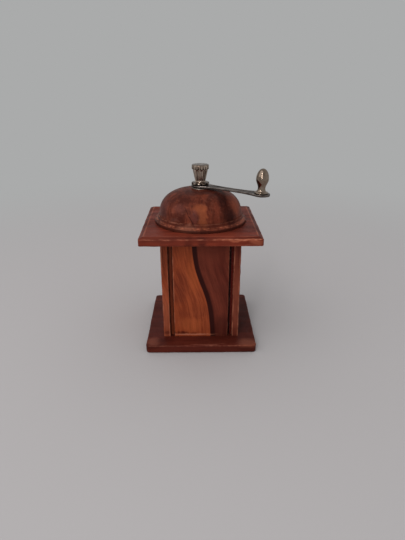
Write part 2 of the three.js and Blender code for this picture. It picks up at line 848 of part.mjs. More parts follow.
function knobOutline() {
  const neckBore = rivetRadius + runningGap;
  const chamber = rivetHeadRadius + runningGap;
  const chamberFoot = rivetHeadFoot - runningGap;
  const chamberTop = rivetHeadFoot + rivetHeadThickness + runningGap;
  const recess = rivetShoulderRadius + runningGap;
  const recessTop = rivetShoulderHeight + 2 * runningGap;
  const points = [
    [0, chamberTop],
    [chamber, chamberTop],
    [chamber, chamberFoot],
    [neckBore, chamberFoot],
    [neckBore, recessTop],
    [recess, recessTop],
    [recess, runningGap],
    [knobFlareRadius - runningGap, runningGap],
    [knobFlareRadius, 2 * runningGap],
    [knobFlareRadius, knobFlareLip + runningGap],
  ];
  const flareFoot = knobFlareLip + runningGap;
  for (let step = 1; step <= knobSteps; step += 1) {
    const angle = (step / knobSteps) * (straight / 2);
    const radius = knobNeckRadius + (knobFlareRadius - knobNeckRadius) * (1 - Math.sin(angle));
    points.push([radius, flareFoot + (knobNeckHeight - flareFoot) * (1 - Math.cos(angle))]);
  }
  for (let step = 1; step <= knobSteps; step += 1) {
    const share = step / knobSteps;
    const radius = knobNeckRadius + (knobRadius - knobNeckRadius) * (1 - Math.cos(share * straight)) / 2;
    points.push([radius, knobNeckHeight + share * (knobBellyHeight - knobNeckHeight)]);
  }
  for (let step = 1; step <= knobSteps; step += 1) {
    const angle = (step / knobSteps) * (straight / 2);
    const radius = step === knobSteps ? 0 : knobRadius * Math.cos(angle);
    points.push([radius, knobBellyHeight + (knobHeight - knobBellyHeight) * Math.sin(angle)]);
  }
  return points;
}

function knobRivet() {
  const armFoot = -crankThickness - runningGap;
  const shoulderFoot = runningGap;
  const headTop = rivetHeadFoot + rivetHeadThickness;
  const outline = [
    [0, armFoot - rivetTailThickness],
    [rivetTailRadius - rivetTailThickness / 2, armFoot - rivetTailThickness],
    [rivetTailRadius, armFoot - rivetTailThickness / 2],
    [rivetTailRadius, armFoot],
    [rivetRadius, armFoot],
    [rivetRadius, shoulderFoot],
    [rivetShoulderRadius, shoulderFoot],
    [rivetShoulderRadius, shoulderFoot + rivetShoulderHeight],
    [rivetRadius, shoulderFoot + rivetShoulderHeight],
    [rivetRadius, rivetHeadFoot],
    [rivetHeadRadius, rivetHeadFoot],
    [rivetHeadRadius, headTop],
    [0, headTop],
  ];
  return solidFrom(turned(outline, narrowSides));
}

// Assembly

function named(name, solid, material) {
  const mesh = new THREE.Mesh(geometryFrom(solid), material);
  mesh.name = name;
  return mesh;
}

function woodenBody() {
  const group = new THREE.Group();
  group.add(named('base_board', baseBoard(), boardWood()));
  group.add(named('column', column(), columnWood()));
  group.add(named('top_board', topBoard(), boardWood()));
  fourCorners(baseScrewOffset).forEach((corner, i) => {
    group.add(named(`base_screw_${i + 1}`, baseScrew(corner), plainSteel()));
  });
  fourCorners(dowelOffset).forEach((corner, i) => {
    group.add(named(`board_dowel_${i + 1}`, dowel(corner), dowelWood()));
  });
  return group;
}

function grinder() {
  const group = new THREE.Group();
  group.add(named('burr_ring', stator(), darkSteel()));
  group.add(named('bridge', bridge(), plainSteel()));
  [bridgeScrewOffset, -bridgeScrewOffset].forEach((x, i) => {
    group.add(named(`bridge_screw_${i + 1}`, bridgeScrew(x), plainSteel()));
  });
  group.add(named('burr_spring', rotorSpring(), plainSteel()));
  group.add(named('thrust_washer', thrustSeat(), plainSteel()));
  return group;
}

function lidParts() {
  const group = new THREE.Group();
  group.add(named('lid', lid(), lidWood()));
  group.add(named('bearing_plate', bearingPlate(), nickel()));
  [nailOffset, -nailOffset].forEach((x, i) => {
    group.add(named(`bearing_nail_${i + 1}`, bearingNail(x), nickel()));
  });
  return group;
}

function turningParts() {
  const group = new THREE.Group();
  group.add(named('drive_shaft', shaft(), plainSteel()));
  group.add(named('burr_cone', rotor(), darkSteel()));
  group.add(named('burr_collar', rotorCollar(), plainSteel()));
  group.add(named('crank_arm', crank(), darkSteel()));
  group.add(named('adjusting_nut', adjustingNut(), nickel()));
  const knobEnd = new THREE.Group();
  knobEnd.add(named('crank_knob', solidFrom(turned(knobOutline(), mediumSides)), nickel()));
  knobEnd.add(named('knob_rivet', knobRivet(), plainSteel()));
  knobEnd.applyMatrix4(placeAtArmEnd());
  group.add(knobEnd);
  group.rotation.z = restTurn;
  return group;
}

const mill = new THREE.Group();
mill.add(woodenBody(), grinder(), lidParts(), turningParts());
mill.position.x = axisX;

export default mill;
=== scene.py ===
# %% [markdown]
# A spice mill in oiled wood and aged nickel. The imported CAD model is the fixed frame, and this
# notebook dresses it. The wooden pieces, the nut, the bearing plate, the shaft, the crank and its
# knob are modelled again with soft edges and turned detail. The small steel pieces inside keep
# their CAD shape and get a finish. Everything is in metres, with +Z up.

import json
import math

import bmesh
import bpy
from mathutils import Matrix, Vector, noise


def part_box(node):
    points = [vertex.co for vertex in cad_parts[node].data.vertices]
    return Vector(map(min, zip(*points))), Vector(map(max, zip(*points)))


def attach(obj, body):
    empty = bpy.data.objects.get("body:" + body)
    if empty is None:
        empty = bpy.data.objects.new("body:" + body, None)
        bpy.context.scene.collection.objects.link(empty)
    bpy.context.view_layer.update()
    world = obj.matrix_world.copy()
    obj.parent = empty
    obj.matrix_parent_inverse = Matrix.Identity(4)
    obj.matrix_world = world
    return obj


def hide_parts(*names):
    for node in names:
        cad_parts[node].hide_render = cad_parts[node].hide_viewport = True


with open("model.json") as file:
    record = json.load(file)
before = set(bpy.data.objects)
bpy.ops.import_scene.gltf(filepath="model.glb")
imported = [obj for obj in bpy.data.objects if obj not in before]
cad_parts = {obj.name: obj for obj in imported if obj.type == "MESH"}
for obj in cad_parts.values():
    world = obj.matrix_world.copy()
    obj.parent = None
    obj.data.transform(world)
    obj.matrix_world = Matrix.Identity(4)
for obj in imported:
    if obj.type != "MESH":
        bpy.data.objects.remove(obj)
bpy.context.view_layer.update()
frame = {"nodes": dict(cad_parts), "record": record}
MM = 0.001
FULL_TURN = 2 * math.pi

# %% [markdown]
# The mill's own axis isn't the frame's origin, because the crank reaches out on one side. Every
# level and width comes from the box of the CAD node that a piece stands for, so a new piece sits
# exactly where the old one was.

# %% Levels and widths read from the frame


def box_of(node):
    low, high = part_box(node)
    return low, high, (low + high) / 2


def half_width(node):
    low, high, _ = box_of(node)
    return (high.x - low.x) / 2


BASE_LOW, BASE_HIGH, _ = box_of("base_board")
COLUMN_LOW, COLUMN_HIGH, COLUMN_MIDDLE = box_of("column")
TOP_LOW, TOP_HIGH, _ = box_of("top_board")
LID_LOW, _, _ = box_of("lid")
NUT_LOW, _, _ = box_of("adjusting_nut")
PLATE_LOW, PLATE_HIGH, _ = box_of("bearing_plate")
SHAFT_LOW, SHAFT_HIGH, _ = box_of("drive_shaft")
CONE_LOW, _, _ = box_of("burr_cone")
_, HUB_HIGH, _ = box_of("crank_arm")
COLUMN_HALF = half_width("column")
BASE_HALF = half_width("base_board")
TOP_HALF = half_width("top_board")
FLANGE_RADIUS = half_width("lid")
PLATE_RADIUS = half_width("bearing_plate")
AXIS = Vector((COLUMN_MIDDLE.x, COLUMN_MIDDLE.y, 0))
CRANK_REST = math.radians(-27.5)  # where the crank points at rest
ON_AXIS = Matrix.Translation(AXIS)
AT_REST = ON_AXIS @ Matrix.Rotation(CRANK_REST, 4, "Z")
print("axis at x", round(AXIS.x, 5), "board top", round(TOP_HIGH.z, 5))

# %% [markdown]
# A mesh is finished the same way each time: doubles merged, normals made to point outwards, and
# smooth shading that breaks only where two faces meet at more than a set angle. The object stays
# at the origin, unturned, so a pattern on Object coordinates is fixed to the piece.

# %% From bmesh to piece
SHARP_ANGLE = math.radians(38)
WELD = 1e-6


def in_scene(name, data):
    made = bpy.data.objects.new(name, data)
    bpy.context.scene.collection.objects.link(made)
    return made


def stand_in(bm, node, body, material, at=ON_AXIS, weld=WELD):
    """Carries a bmesh to its place and makes it the piece that stands for a CAD node."""
    bmesh.ops.transform(bm, matrix=at, verts=bm.verts[:])
    bmesh.ops.remove_doubles(bm, verts=bm.verts[:], dist=weld)
    bmesh.ops.recalc_face_normals(bm, faces=bm.faces[:])
    mesh = bpy.data.meshes.new(f"{node}_piece")
    bm.to_mesh(mesh)
    bm.free()
    mesh.shade_smooth()
    mesh.set_sharp_from_angle(angle=SHARP_ANGLE)
    mesh.materials.append(material)
    piece = in_scene(mesh.name, mesh)
    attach(piece, body)
    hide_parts(node)
    print(piece.name, "faces", len(mesh.polygons))


print("edges stay sharp from", round(math.degrees(SHARP_ANGLE)), "degrees")


# %% [markdown]
# Turned pieces are an outline spun round the shaft. The outline is a chain of points, built from
# straight runs and ovals as a turner's template would be, and `bmesh.ops.spin` does the rest.
# Rings of corners could be stacked one by one, but a spin also makes the faces between them.

# %% Spinning an outline


def shares(steps):
    """Even steps from 0 to 1, with both ends."""
    return [step / steps for step in range(steps + 1)]


def oval(middle, run, rise, start, end, steps):
    """Points on an ellipse in the (radius, height) plane, from start to end in degrees."""
    angles = [math.radians(start + (end - start) * share) for share in shares(steps)]
    return [(middle[0] + run * math.cos(one), middle[1] + rise * math.sin(one)) for one in angles]


def arc(middle, radius, start, end, steps):
    return oval(middle, radius, radius, start, end, steps)


def chained(bm, corners, closed=False):
    """Edges from each corner to the next, and from the last to the first in a closed chain."""
    following = corners[1:] + corners[:1] if closed else corners[1:]
    return [bm.edges.new(pair) for pair in zip(corners, following)]


def spin_chain(bm, points, sides, closed=False):
    """Spins a chain of (radius, height) points a full turn, and gives the corners that it made."""
    before = set(bm.verts)
    corners = [bm.verts.new((radius, 0, height)) for radius, height in points]
    bmesh.ops.spin(
        bm, geom=corners + chained(bm, corners, closed), cent=(0, 0, 0), axis=(0, 0, 1),
        angle=FULL_TURN, steps=sides, use_merge=True,
    )
    made = [corner for corner in bm.verts if corner not in before]
    bmesh.ops.remove_doubles(bm, verts=made, dist=WELD)
    return [corner for corner in bm.verts if corner not in before]


def spun(points, sides, closed=False):
    bm = bmesh.new()
    spin_chain(bm, points, sides, closed)
    return bm


print("a quarter arc in 4 steps has", len(arc((0, 0), 1, 0, 90, 4)), "points")


# %% [markdown]
# A material is a small graph. What a node gives out is wrapped as a **signal**, which adds,
# multiplies and subtracts like a number: each sum adds the node for it. So a mask can be written
# as `edge * patches`, and each finish below reads as a short recipe. A colour is a signal or three
# screen values from 0 to 255.

# %% Signals


class Signal:
    """The output of a node, which can be used in sums like a number."""

    def __init__(self, socket):
        self.socket = socket
        self.tree = socket.id_data

    def __add__(self, other):
        return calc("ADD", self, other)

    def __sub__(self, other):
        return calc("SUBTRACT", self, other)

    def __rsub__(self, other):
        return calc("SUBTRACT", other, self)

    def __mul__(self, other):
        return calc("MULTIPLY", self, other)

    def __truediv__(self, other):
        return calc("DIVIDE", self, other)

    def __abs__(self):
        return calc("ABSOLUTE", self)

    __radd__, __rmul__ = __add__, __mul__


def feed(socket, value):
    if isinstance(value, Signal):
        value.tree.links.new(value.socket, socket)
    else:
        socket.default_value = value


def add(kind, inputs, output=0, tree=None, **settings):
    """Adds a node to the graph that its inputs come from. Gives one output, or all by name."""
    if tree is None:
        tree = next(value.tree for value in inputs.values() if isinstance(value, Signal))
    made = tree.nodes.new(kind)
    for name, value in settings.items():
        setattr(made, name, value)
    for name, value in inputs.items():
        feed(made.inputs[name], value)
    if output is None:
        return {socket.name: Signal(socket) for socket in made.outputs}
    return Signal(made.outputs[output])


def calc(operation, *values, **settings):
    return add("ShaderNodeMath", dict(enumerate(values)), operation=operation, **settings)


def calc_vector(operation, *values, output=0):
    return add("ShaderNodeVectorMath", dict(enumerate(values)), output, operation=operation)


def length_of(vector):
    return calc_vector("LENGTH", vector, output="Value")


# %% Masks from signals


def most(first, *others):
    for other in others:
        first = calc("MAXIMUM", first, other)
    return first


def above(value, level):
    return calc("GREATER_THAN", value, level)


def between(value, low, high):
    return above(value, low) * calc("LESS_THAN", value, high)


def ranged(value, low, high, to_low=0.0, to_high=1.0, style="SMOOTHSTEP"):
    inputs = {
        "Value": value, "From Min": low, "From Max": high, "To Min": to_low, "To Max": to_high,
    }
    return add("ShaderNodeMapRange", inputs, interpolation_type=style)


def near(value, level, width):
    """One where a value is at a level, falling to nothing a width away from it."""
    return ranged(abs(value - level), width, width * 0.25)


def parts_of(spot):
    return tuple(add("ShaderNodeSeparateXYZ", {0: spot}, None).values())


def cloud(spot, scale, detail=3.0, roughness=0.5, distortion=0.0):
    """A smooth noise from 0 to 1. Its scale is the number of its cells in a metre."""
    inputs = {
        "Vector": spot, "Scale": scale, "Detail": detail,
        "Roughness": roughness, "Distortion": distortion,
    }
    return add("ShaderNodeTexNoise", inputs, "Fac")


def broken(spot, scale, low=0.38, high=0.58):
    """A noise made into patches, which breaks a mask up as wear does."""
    return ranged(cloud(spot, scale, 3.0, 0.6), low, high)


def stretched(spot, scale=(1, 1, 1), location=(0, 0, 0), rotation=(0, 0, 0)):
    inputs = {"Vector": spot, "Scale": scale, "Location": location, "Rotation": rotation}
    return add("ShaderNodeMapping", inputs)


def shaken(spot, scale, amount):
    """The same place pushed about by a smooth noise, so that what is drawn on it wavers."""
    colour = add("ShaderNodeTexNoise", {"Vector": spot, "Scale": scale, "Detail": 3.0}, "Color")
    push = calc_vector("SUBTRACT", colour, (0.5, 0.5, 0.5))
    return calc_vector("MULTIPLY_ADD", push, (amount, amount, amount), spot)


# %% Colours


def linear(colour, tone=1.0):
    """A screen colour as the linear colour that a shader takes, made darker or paler by a tone."""
    parts = []
    for value in colour:
        share = value / 255
        straight = share / 12.92 if share <= 0.04045 else ((share + 0.055) / 1.055) ** 2.4
        parts.append(straight * tone)
    return (*parts, 1.0)


def as_linear(colour):
    """Makes three screen values linear, and leaves a signal or a linear colour as it is."""
    return linear(colour) if isinstance(colour, tuple) and len(colour) == 3 else colour


def blend(share, first, second):
    """Mixes two colours. The numbers are the sockets that the Mix node uses for colours."""
    inputs = {0: share, 6: as_linear(first), 7: as_linear(second)}
    return add("ShaderNodeMix", inputs, 2, data_type="RGBA", blend_type="MIX", clamp_factor=True)


def layered(colour, *layers):
    """Lays colours over a colour, each given as its mask, its share and its colour."""
    for mask, share, tint in layers:
        colour = blend(mask * share, colour, tint)
    return colour


print("middle grey is", round(linear((128, 128, 128))[0], 3), "in linear light")

# %% [markdown]
# Effects that several finishes share are node groups. **Fibre** draws fine streaks along Z, as
# wood shows along its grain. **Worn edge** compares the true normal with one that a Bevel node has
# rounded: they differ only beside an edge, where hands and cloths rub the finish away.
# **Handling marks** gives smudges and fine scratches. **Patch** is a soft ball of any size and
# place: where it meets the surface it leaves a spot of another colour, which is how a knot, a
# stain or a rubbed corner sits in real wood.

# %% Shared groups
FINE_STREAKS, BROAD_STREAKS, PORES, BANDS = 1500.0, 330.0, 2600.0, 110.0  # cells in a metre
SCRATCHES = 420.0
SAME_NORMAL, TURNED_NORMAL = 0.997, 0.93  # cosines where wear begins and where it is full
BEVEL_SAMPLES = 6


def new_group(name, outputs, **inputs):
    """Gives a group, its inputs as signals and its output sockets. No value means a place."""
    group = bpy.data.node_groups.new(name, "ShaderNodeTree")
    for label, value in inputs.items():
        kind = "NodeSocketVector" if value is None else "NodeSocketFloat"
        socket = group.interface.new_socket(label, in_out="INPUT", socket_type=kind)
        if value is not None:
            socket.default_value = value
    for label in outputs:
        group.interface.new_socket(label, in_out="OUTPUT", socket_type="NodeSocketFloat")
    entry = group.nodes.new("NodeGroupInput")
    given = [Signal(entry.outputs[label]) for label in inputs]
    return group, given, group.nodes.new("NodeGroupOutput").inputs


def fibre_group():
    outputs = ["Streaks", "Pores", "Bands"]
    group, (spot, along), out = new_group("Fibre", outputs, Vector=None, Along=0.04)
    squeeze = add("ShaderNodeCombineXYZ", {"X": 1.0, "Y": 1.0, "Z": along})
    drawn = calc_vector("MULTIPLY", spot, squeeze)
    fine = cloud(drawn, FINE_STREAKS, 3.0, 0.6)
    broad = cloud(drawn, BROAD_STREAKS, 4.0, 0.55, 0.6)
    feed(out["Streaks"], ranged(fine * 0.4 + broad * 0.6, 0.36, 0.64))
    feed(out["Pores"], ranged(cloud(drawn, PORES, 1.0), 0.60, 0.72))
    feed(out["Bands"], ranged(cloud(drawn, BANDS, 3.0, 0.5, 0.9), 0.36, 0.64))
    return group


def worn_edge_group():
    group, (spot, width, breakup), out = new_group(
        "Worn edge", ["Mask"], Vector=None, Width=0.8 * MM, Breakup=120.0,
    )
    soft = add("ShaderNodeBevel", {"Radius": width}, samples=BEVEL_SAMPLES)
    true = add("ShaderNodeNewGeometry", {}, "Normal", tree=group)
    along = calc_vector("DOT_PRODUCT", soft, true, output="Value")
    turned = ranged(along, SAME_NORMAL, TURNED_NORMAL)
    patches = broken(spot, breakup, 0.34, 0.66)
    feed(out["Mask"], calc("MULTIPLY", turned, patches, use_clamp=True))
    return group


def marks_group():
    outputs = ["Smudge", "Scratch"]
    group, (spot, scale), out = new_group("Handling marks", outputs, Vector=None, Scale=60.0)
    tilted = stretched(spot, (9.0, 0.7, 1.4), rotation=(0.4, 0.7, 0.3))
    feed(out["Smudge"], ranged(cloud(spot, scale, 4.0, 0.6, 0.4), 0.42, 0.66))
    feed(out["Scratch"], ranged(cloud(tilted, SCRATCHES, 2.0), 0.66, 0.74))
    return group


def patch_group():
    group, (spot, centre, size, softness), out = new_group(
        "Patch", ["Mask"], Vector=None, Centre=None, Size=None, Softness=0.4,
    )
    away = calc_vector("SUBTRACT", spot, centre)
    reach = length_of(calc_vector("DIVIDE", away, size))
    feed(out["Mask"], ranged(reach, 1.0 + softness, 1.0 - softness))
    return group


FIBRE = fibre_group()
WORN_EDGE = worn_edge_group()
MARKS = marks_group()
PATCH = patch_group()
print("groups", [group.name for group in bpy.data.node_groups])

# %% Using the groups


def use(group, **inputs):
    return add("ShaderNodeGroup", inputs, None, node_tree=group)


def patch(spot, centre, size, softness=0.5):
    """A soft ball whose centre and half sizes are given in mm from the axis."""
    centre, size = ([value * MM for value in values] for values in (centre, size))
    return use(PATCH, Vector=spot, Centre=centre, Size=size, Softness=softness)["Mask"]


def figured(spot, colour, patches, streaks):
    """Lays patches over a colour, each with a centre, half sizes, a colour and a share."""
    through = ranged(streaks, 0.0, 1.0, 1.0, 0.55, "LINEAR")
    for centre, size, tint, share in patches:
        grained = blend(streaks, linear(tint, 0.78), linear(tint, 1.15))
        colour = blend(patch(spot, centre, size) * through * share, colour, grained)
    return colour


def new_material(name):
    material = bpy.data.materials.new(name)
    material.use_nodes = True
    tree = material.node_tree
    tree.nodes.clear()
    shader = tree.nodes.new("ShaderNodeBsdfPrincipled")
    output = tree.nodes.new("ShaderNodeOutputMaterial")
    tree.links.new(shader.outputs[0], output.inputs[0])
    spot = stretched(add("ShaderNodeTexCoord", {}, "Object", tree=tree), location=-AXIS)
    return material, shader, spot


def finish(shader, colour, gloss, roughness, height, depth, strength):
    """Feeds the shader a colour, a roughness between two ends and a bump."""
    feed(shader.inputs["Base Color"], colour)
    feed(shader.inputs["Roughness"], ranged(gloss, 0.0, 1.0, *roughness, "LINEAR"))
    bump = {"Height": height, "Distance": depth, "Strength": strength}
    feed(shader.inputs["Normal"], add("ShaderNodeBump", bump))


# %% [markdown]
# Every wooden piece ends in the same way. Its arrises are rubbed pale, handling leaves faint
# smudges, and the open pores are pressed in a little. Oil sinks into wood, so the shine is low and
# the smudges only make it duller or glossier in places.

# %% The oiled surface
RUBBED = (176, 108, 82)
SMUDGED = (52, 22, 17)
SMUDGE_SCALE = 48.0
SMUDGE_SHARE = 0.14
WOOD_SHINE = 0.07
WOOD_RELIEF = 0.6
GRAIN_DEPTH = 0.06 * MM
DENT_DEPTHS = 4.0  # how many times deeper a dent is than the grain


def oiled(shader, spot, colour, fibre, edge, roughness, dent=None, shine=WOOD_SHINE):
    """The last coat. An edge is given as its width, its share and the scale that breaks it up."""
    width, share, breakup = edge
    worn = use(WORN_EDGE, Vector=spot, Width=width, Breakup=breakup)["Mask"]
    smudge = use(MARKS, Vector=spot, Scale=SMUDGE_SCALE)["Smudge"]
    colour = layered(colour, (worn, share, RUBBED), (smudge, SMUDGE_SHARE, SMUDGED))
    height = fibre["Streaks"] * 0.5 - fibre["Pores"]
    if dent:
        height = height - dent * DENT_DEPTHS
    finish(shader, colour, smudge, roughness, height, GRAIN_DEPTH, WOOD_RELIEF)
    shader.inputs["Specular IOR Level"].default_value = shine


print("a dent is", round(GRAIN_DEPTH * DENT_DEPTHS / MM, 2), "mm deep")


# %% [markdown]
# The column is one block cut where pale outer wood meets the dark heart. Its front shows both,
# with a nearly black line between them that swings from the middle of the top to the right of the
# foot, so it follows a hyperbolic tangent of the height. The line is a surface through the block,
# and it comes out again on the other faces: a point's distance from that surface picks its colour,
# and the fibres bend with it. Each face could have a pattern of its own, but then the figure
# wouldn't run on round the corners, as it does in solid wood.

# %% Where the heart begins
HEART_MIDDLE = 0.2 * MM  # where the dark line crosses the front, halfway down its swing
HEART_SWING = 8.2 * MM
HEART_LEVEL = 55.7 * MM
HEART_LENGTH = 23.9 * MM
HEART_LEAN = 0.34  # how far the line moves sideways for each step back into the block
HEART_WANDER = 2.2 * MM
STAIN_WIDTH = 3.9 * MM


def heart_distance(spot):
    """How far a point lies past the surface where the heart begins."""
    x, y, z = parts_of(spot)
    line = calc("TANH", (HEART_LEVEL - z) / HEART_LENGTH) * HEART_SWING + HEART_MIDDLE
    wander = cloud(stretched(spot, (1, 1, 0.35)), 60.0) - 0.5
    past = x - line + (y + COLUMN_HALF) * HEART_LEAN + wander * HEART_WANDER
    return past, add("ShaderNodeCombineXYZ", {"X": past, "Y": y, "Z": z})


print("the dark line swings over", round(2 * HEART_SWING / MM, 1), "mm")

# %% Grooves and figure of the column
POST_WIDTH = 5.6 * MM
GROOVE_WIDTH = 3.8 * MM
GROOVE_DEPTH = 3.0 * MM
GROOVE_MIDDLE = COLUMN_HALF - POST_WIDTH - GROOVE_WIDTH / 2
PANEL_ARRIS = COLUMN_HALF - POST_WIDTH - GROOVE_WIDTH - 0.3 * MM
POST_ARRIS = COLUMN_HALF - POST_WIDTH + 0.3 * MM
ARRIS_WEAR = 0.8 * MM

PALE_WOOD, PALE_WOOD_DARK, PALE_MOTTLE = (148, 70, 40), (112, 47, 26), (124, 52, 28)
HEART_WOOD, HEART_WOOD_LIGHT, HEART_WOOD_DARK = (82, 31, 22), (104, 46, 33), (62, 22, 16)
STAIN_LINE = (44, 14, 11)
# Painted shade for the grooves; the right groove gets a painted lit wall and a shaded floor.
GROOVE_SHADE = (34, 9, 6)
RIGHT_GROOVE_LIT, RIGHT_GROOVE_SHADED = (78, 15, 9), (26, 5, 4)
DUST = (168, 148, 138)

PALE_FIGURE = [
    ((-17, -33, 55), (9, 8, 13), (96, 38, 24), 0.7),
    ((-6, -33, 68), (5, 8, 18), (160, 78, 40), 0.5),
    ((-24, -33, 78), (4, 8, 14), (108, 46, 28), 0.5),
    ((-9, -33, 19), (9, 8, 6), (160, 80, 44), 0.55),
    ((-17, -33, 11), (6.5, 6, 1.7), (70, 22, 15), 0.9),
    ((-6.5, -33, 10.5), (3, 6, 1.5), (78, 28, 19), 0.7),
    ((-29.5, -33, 30), (3.5, 6, 22), (160, 86, 62), 0.55),
    ((-29.5, -33, 84), (3.5, 6, 18), (72, 29, 20), 0.7),
    ((-29.5, -33, 10), (3.5, 6, 2), (84, 30, 20), 0.7),
    ((-13, -33, 97), (11, 6, 3.5), (96, 40, 26), 0.5),
]
HEART_FIGURE = [
    ((8, -33, 86), (10, 8, 12), (112, 50, 36), 0.5),
    ((18, -33, 16), (9, 6, 10), (50, 17, 13), 0.6),
    ((29.5, -33, 42), (4, 6, 30), (128, 66, 48), 0.65),
    ((29.5, -33, 11), (4, 6, 4), (86, 34, 23), 0.6),
]
FOOT_WEAR = [((-8, -33, 9.3), (18, 4, 0.7), (186, 116, 90), 0.8)]
print("patches on the column", len(PALE_FIGURE + HEART_FIGURE + FOOT_WEAR))

# %% Column wood


def heart_and_rim(spot):
    """The block's colour before use: pale wood, the dark line and the heart."""
    past, along = heart_distance(spot)
    fibre = use(FIBRE, Vector=along, Along=0.07)
    streaks = fibre["Streaks"]
    hazy = shaken(spot, 120.0, 6 * MM)
    mottled = ranged(cloud(stretched(along, (1, 1, 0.3)), 110.0, 4.0, 0.65), 0.38, 0.66)
    pale = layered(blend(streaks, PALE_WOOD_DARK, PALE_WOOD), (mottled, 0.4, PALE_MOTTLE))
    pale = figured(hazy, pale, PALE_FIGURE, streaks)
    heart = blend(fibre["Bands"], HEART_WOOD, HEART_WOOD_LIGHT)
    heart = figured(hazy, layered(heart, (streaks, 0.5, HEART_WOOD_DARK)), HEART_FIGURE, streaks)
    colour = blend(ranged(past, -0.4 * MM, 0.3 * MM), pale, STAIN_LINE)
    past_stain = ranged(past, STAIN_WIDTH - 0.6 * MM, STAIN_WIDTH + 1.0 * MM)
    colour = blend(past_stain, colour, heart)
    return figured(shaken(spot, 400.0, 2 * MM), colour, FOOT_WEAR, streaks), fibre


def column_wear_and_shade(spot, colour):
    """Painted shade in the grooves, pale arrises beside them, and dust in the right groove."""
    x, y, _ = parts_of(spot)
    across, beside = calc("MAXIMUM", abs(x), abs(y)), calc("MINIMUM", abs(x), abs(y))
    sunk = ranged(across, COLUMN_HALF - 0.5 * MM, COLUMN_HALF - 1.8 * MM)
    sunk = sunk * above(across, COLUMN_HALF - 2 * GROOVE_DEPTH)
    in_corner = ranged(abs(beside - GROOVE_MIDDLE), 0.7 * MM, 1.5 * MM, 0.45, 0.9)
    left_half = ranged(x, GROOVE_MIDDLE + 0.5 * MM, GROOVE_MIDDLE - 0.5 * MM)
    on_right = sunk * above(x, 0.0)
    left_of_heart = ranged(x, 6.0 * MM, 2.0 * MM, 0.15, 1.0)
    arrises = most(
        near(beside, PANEL_ARRIS, ARRIS_WEAR) * left_of_heart,
        near(beside, POST_ARRIS, ARRIS_WEAR), near(beside, COLUMN_HALF - 0.5 * MM, 1.0 * MM),
    )
    arrises = arrises * (1.0 - sunk) * broken(stretched(spot, (1, 1, 0.4)), 210.0, 0.40, 0.66)
    specks = ranged(cloud(spot, 1400.0, 1.0), 0.68, 0.74)
    # The grooves are painted darker as shade, most towards their walls. In the right groove the
    # left half is painted as a shaded floor and the right half as a wall lit from the left.
    return layered(
        colour, (sunk, in_corner, GROOVE_SHADE),
        (on_right, 0.95, blend(left_half, RIGHT_GROOVE_LIT, RIGHT_GROOVE_SHADED)),
        (arrises, 0.5, RUBBED), (specks, on_right * 0.5, DUST),
    )


def column_wood():
    material, shader, spot = new_material("column_wood")
    colour, fibre = heart_and_rim(spot)
    colour = column_wear_and_shade(spot, colour)
    oiled(shader, spot, colour, fibre, edge=(0.9 * MM, 0.5, 170.0), roughness=(0.42, 0.56))
    return material


COLUMN_WOOD = column_wood()
print(COLUMN_WOOD.name, "nodes", len(COLUMN_WOOD.node_tree.nodes))

# %% [markdown]
# The boards have their grain lying along X and are stained darker than the column. Their edges
# have been knocked pale, most of all along the front of the top board and on the front corners of
# the base. The top board's bevel is painted darker as shade, with a paler line where it meets
# the flat. One recipe makes both, each with its own colours and patches, because the two were
# finished alike.

# %% Figure of the boards
TOP_FIGURE = [
    ((-9, -47, 99), (3.0, 8, 6), (76, 28, 20), 0.7),
    ((0.8, -47, 99), (3.4, 8, 6), (66, 24, 19), 0.8),
    ((29, -47.2, 100.9), (16, 2.4, 0.9), (166, 92, 66), 0.85),
    ((42, -47.2, 99.4), (5, 2.4, 2.0), (158, 86, 62), 0.8),
    ((33, -47.2, 96.6), (12, 2.4, 0.7), (140, 72, 52), 0.6),
    ((-20, -47, 98), (4, 8, 5), (96, 36, 26), 0.5),
    ((17, -47, 98), (5, 8, 5), (100, 38, 28), 0.45),
    ((-36, -40, 101), (12, 10, 4), (134, 62, 46), 0.4),
    ((-33, -47.2, 100.5), (13, 2.2, 1.6), (84, 33, 24), 0.6),
    ((20, -40, 102), (18, 7, 3), (128, 58, 42), 0.4),
    ((0, -41, 102.9), (36, 3.5, 2), (126, 54, 38), 0.75),
]
BASE_FIGURE = [
    ((-41, -40, 7.2), (6, 6, 1.2), (136, 76, 58), 0.7),
    ((41, -43, 7.5), (9, 6, 3), (138, 78, 58), 0.6),
    ((-30, -47, 3), (12, 5, 3), (104, 42, 31), 0.35),
    ((39, -47, 3), (8, 5, 3), (54, 18, 13), 0.6),
    ((-4, -42, 7.2), (30, 3.6, 2), (94, 40, 29), 0.7),
    ((-31, -38, 7.2), (7, 4, 2), (56, 18, 13), 0.6),
    ((6, -44.6, 7.2), (15, 0.8, 1), (150, 88, 70), 0.5),
    ((-39, -10, 7.5), (8, 30, 3), (98, 50, 45), 0.4),
    ((39, 0, 7.5), (8, 30, 3), (64, 29, 25), 0.5),
]
print("patches on the boards", len(TOP_FIGURE), "and", len(BASE_FIGURE))

# %% Board wood
TOP_BEVEL_RUN = 3.3 * MM
# The bevel's colour is painted shade.
BEVEL_SHADE = (70, 25, 18)
GRAIN_LIES = (0, math.radians(90), math.radians(4))  # turns the fibres from Z to near X


def bevel_shade_and_wear(spot, colour, across, z, edge, arris_level):
    """Painted shade on the bevel that runs out from an edge, and a paler line just inside it."""
    on_bevel = ranged(across, edge - 0.1 * MM, edge + 0.5 * MM)
    on_bevel = on_bevel * ranged(z, arris_level, arris_level + 0.4 * MM)
    inner = near(across, edge - 0.5 * MM, 0.8 * MM) * broken(spot, 90.0, 0.3, 0.6)
    inner = inner * above(z, arris_level)
    return layered(colour, (on_bevel, 0.6, BEVEL_SHADE), (inner, 0.4, RUBBED))


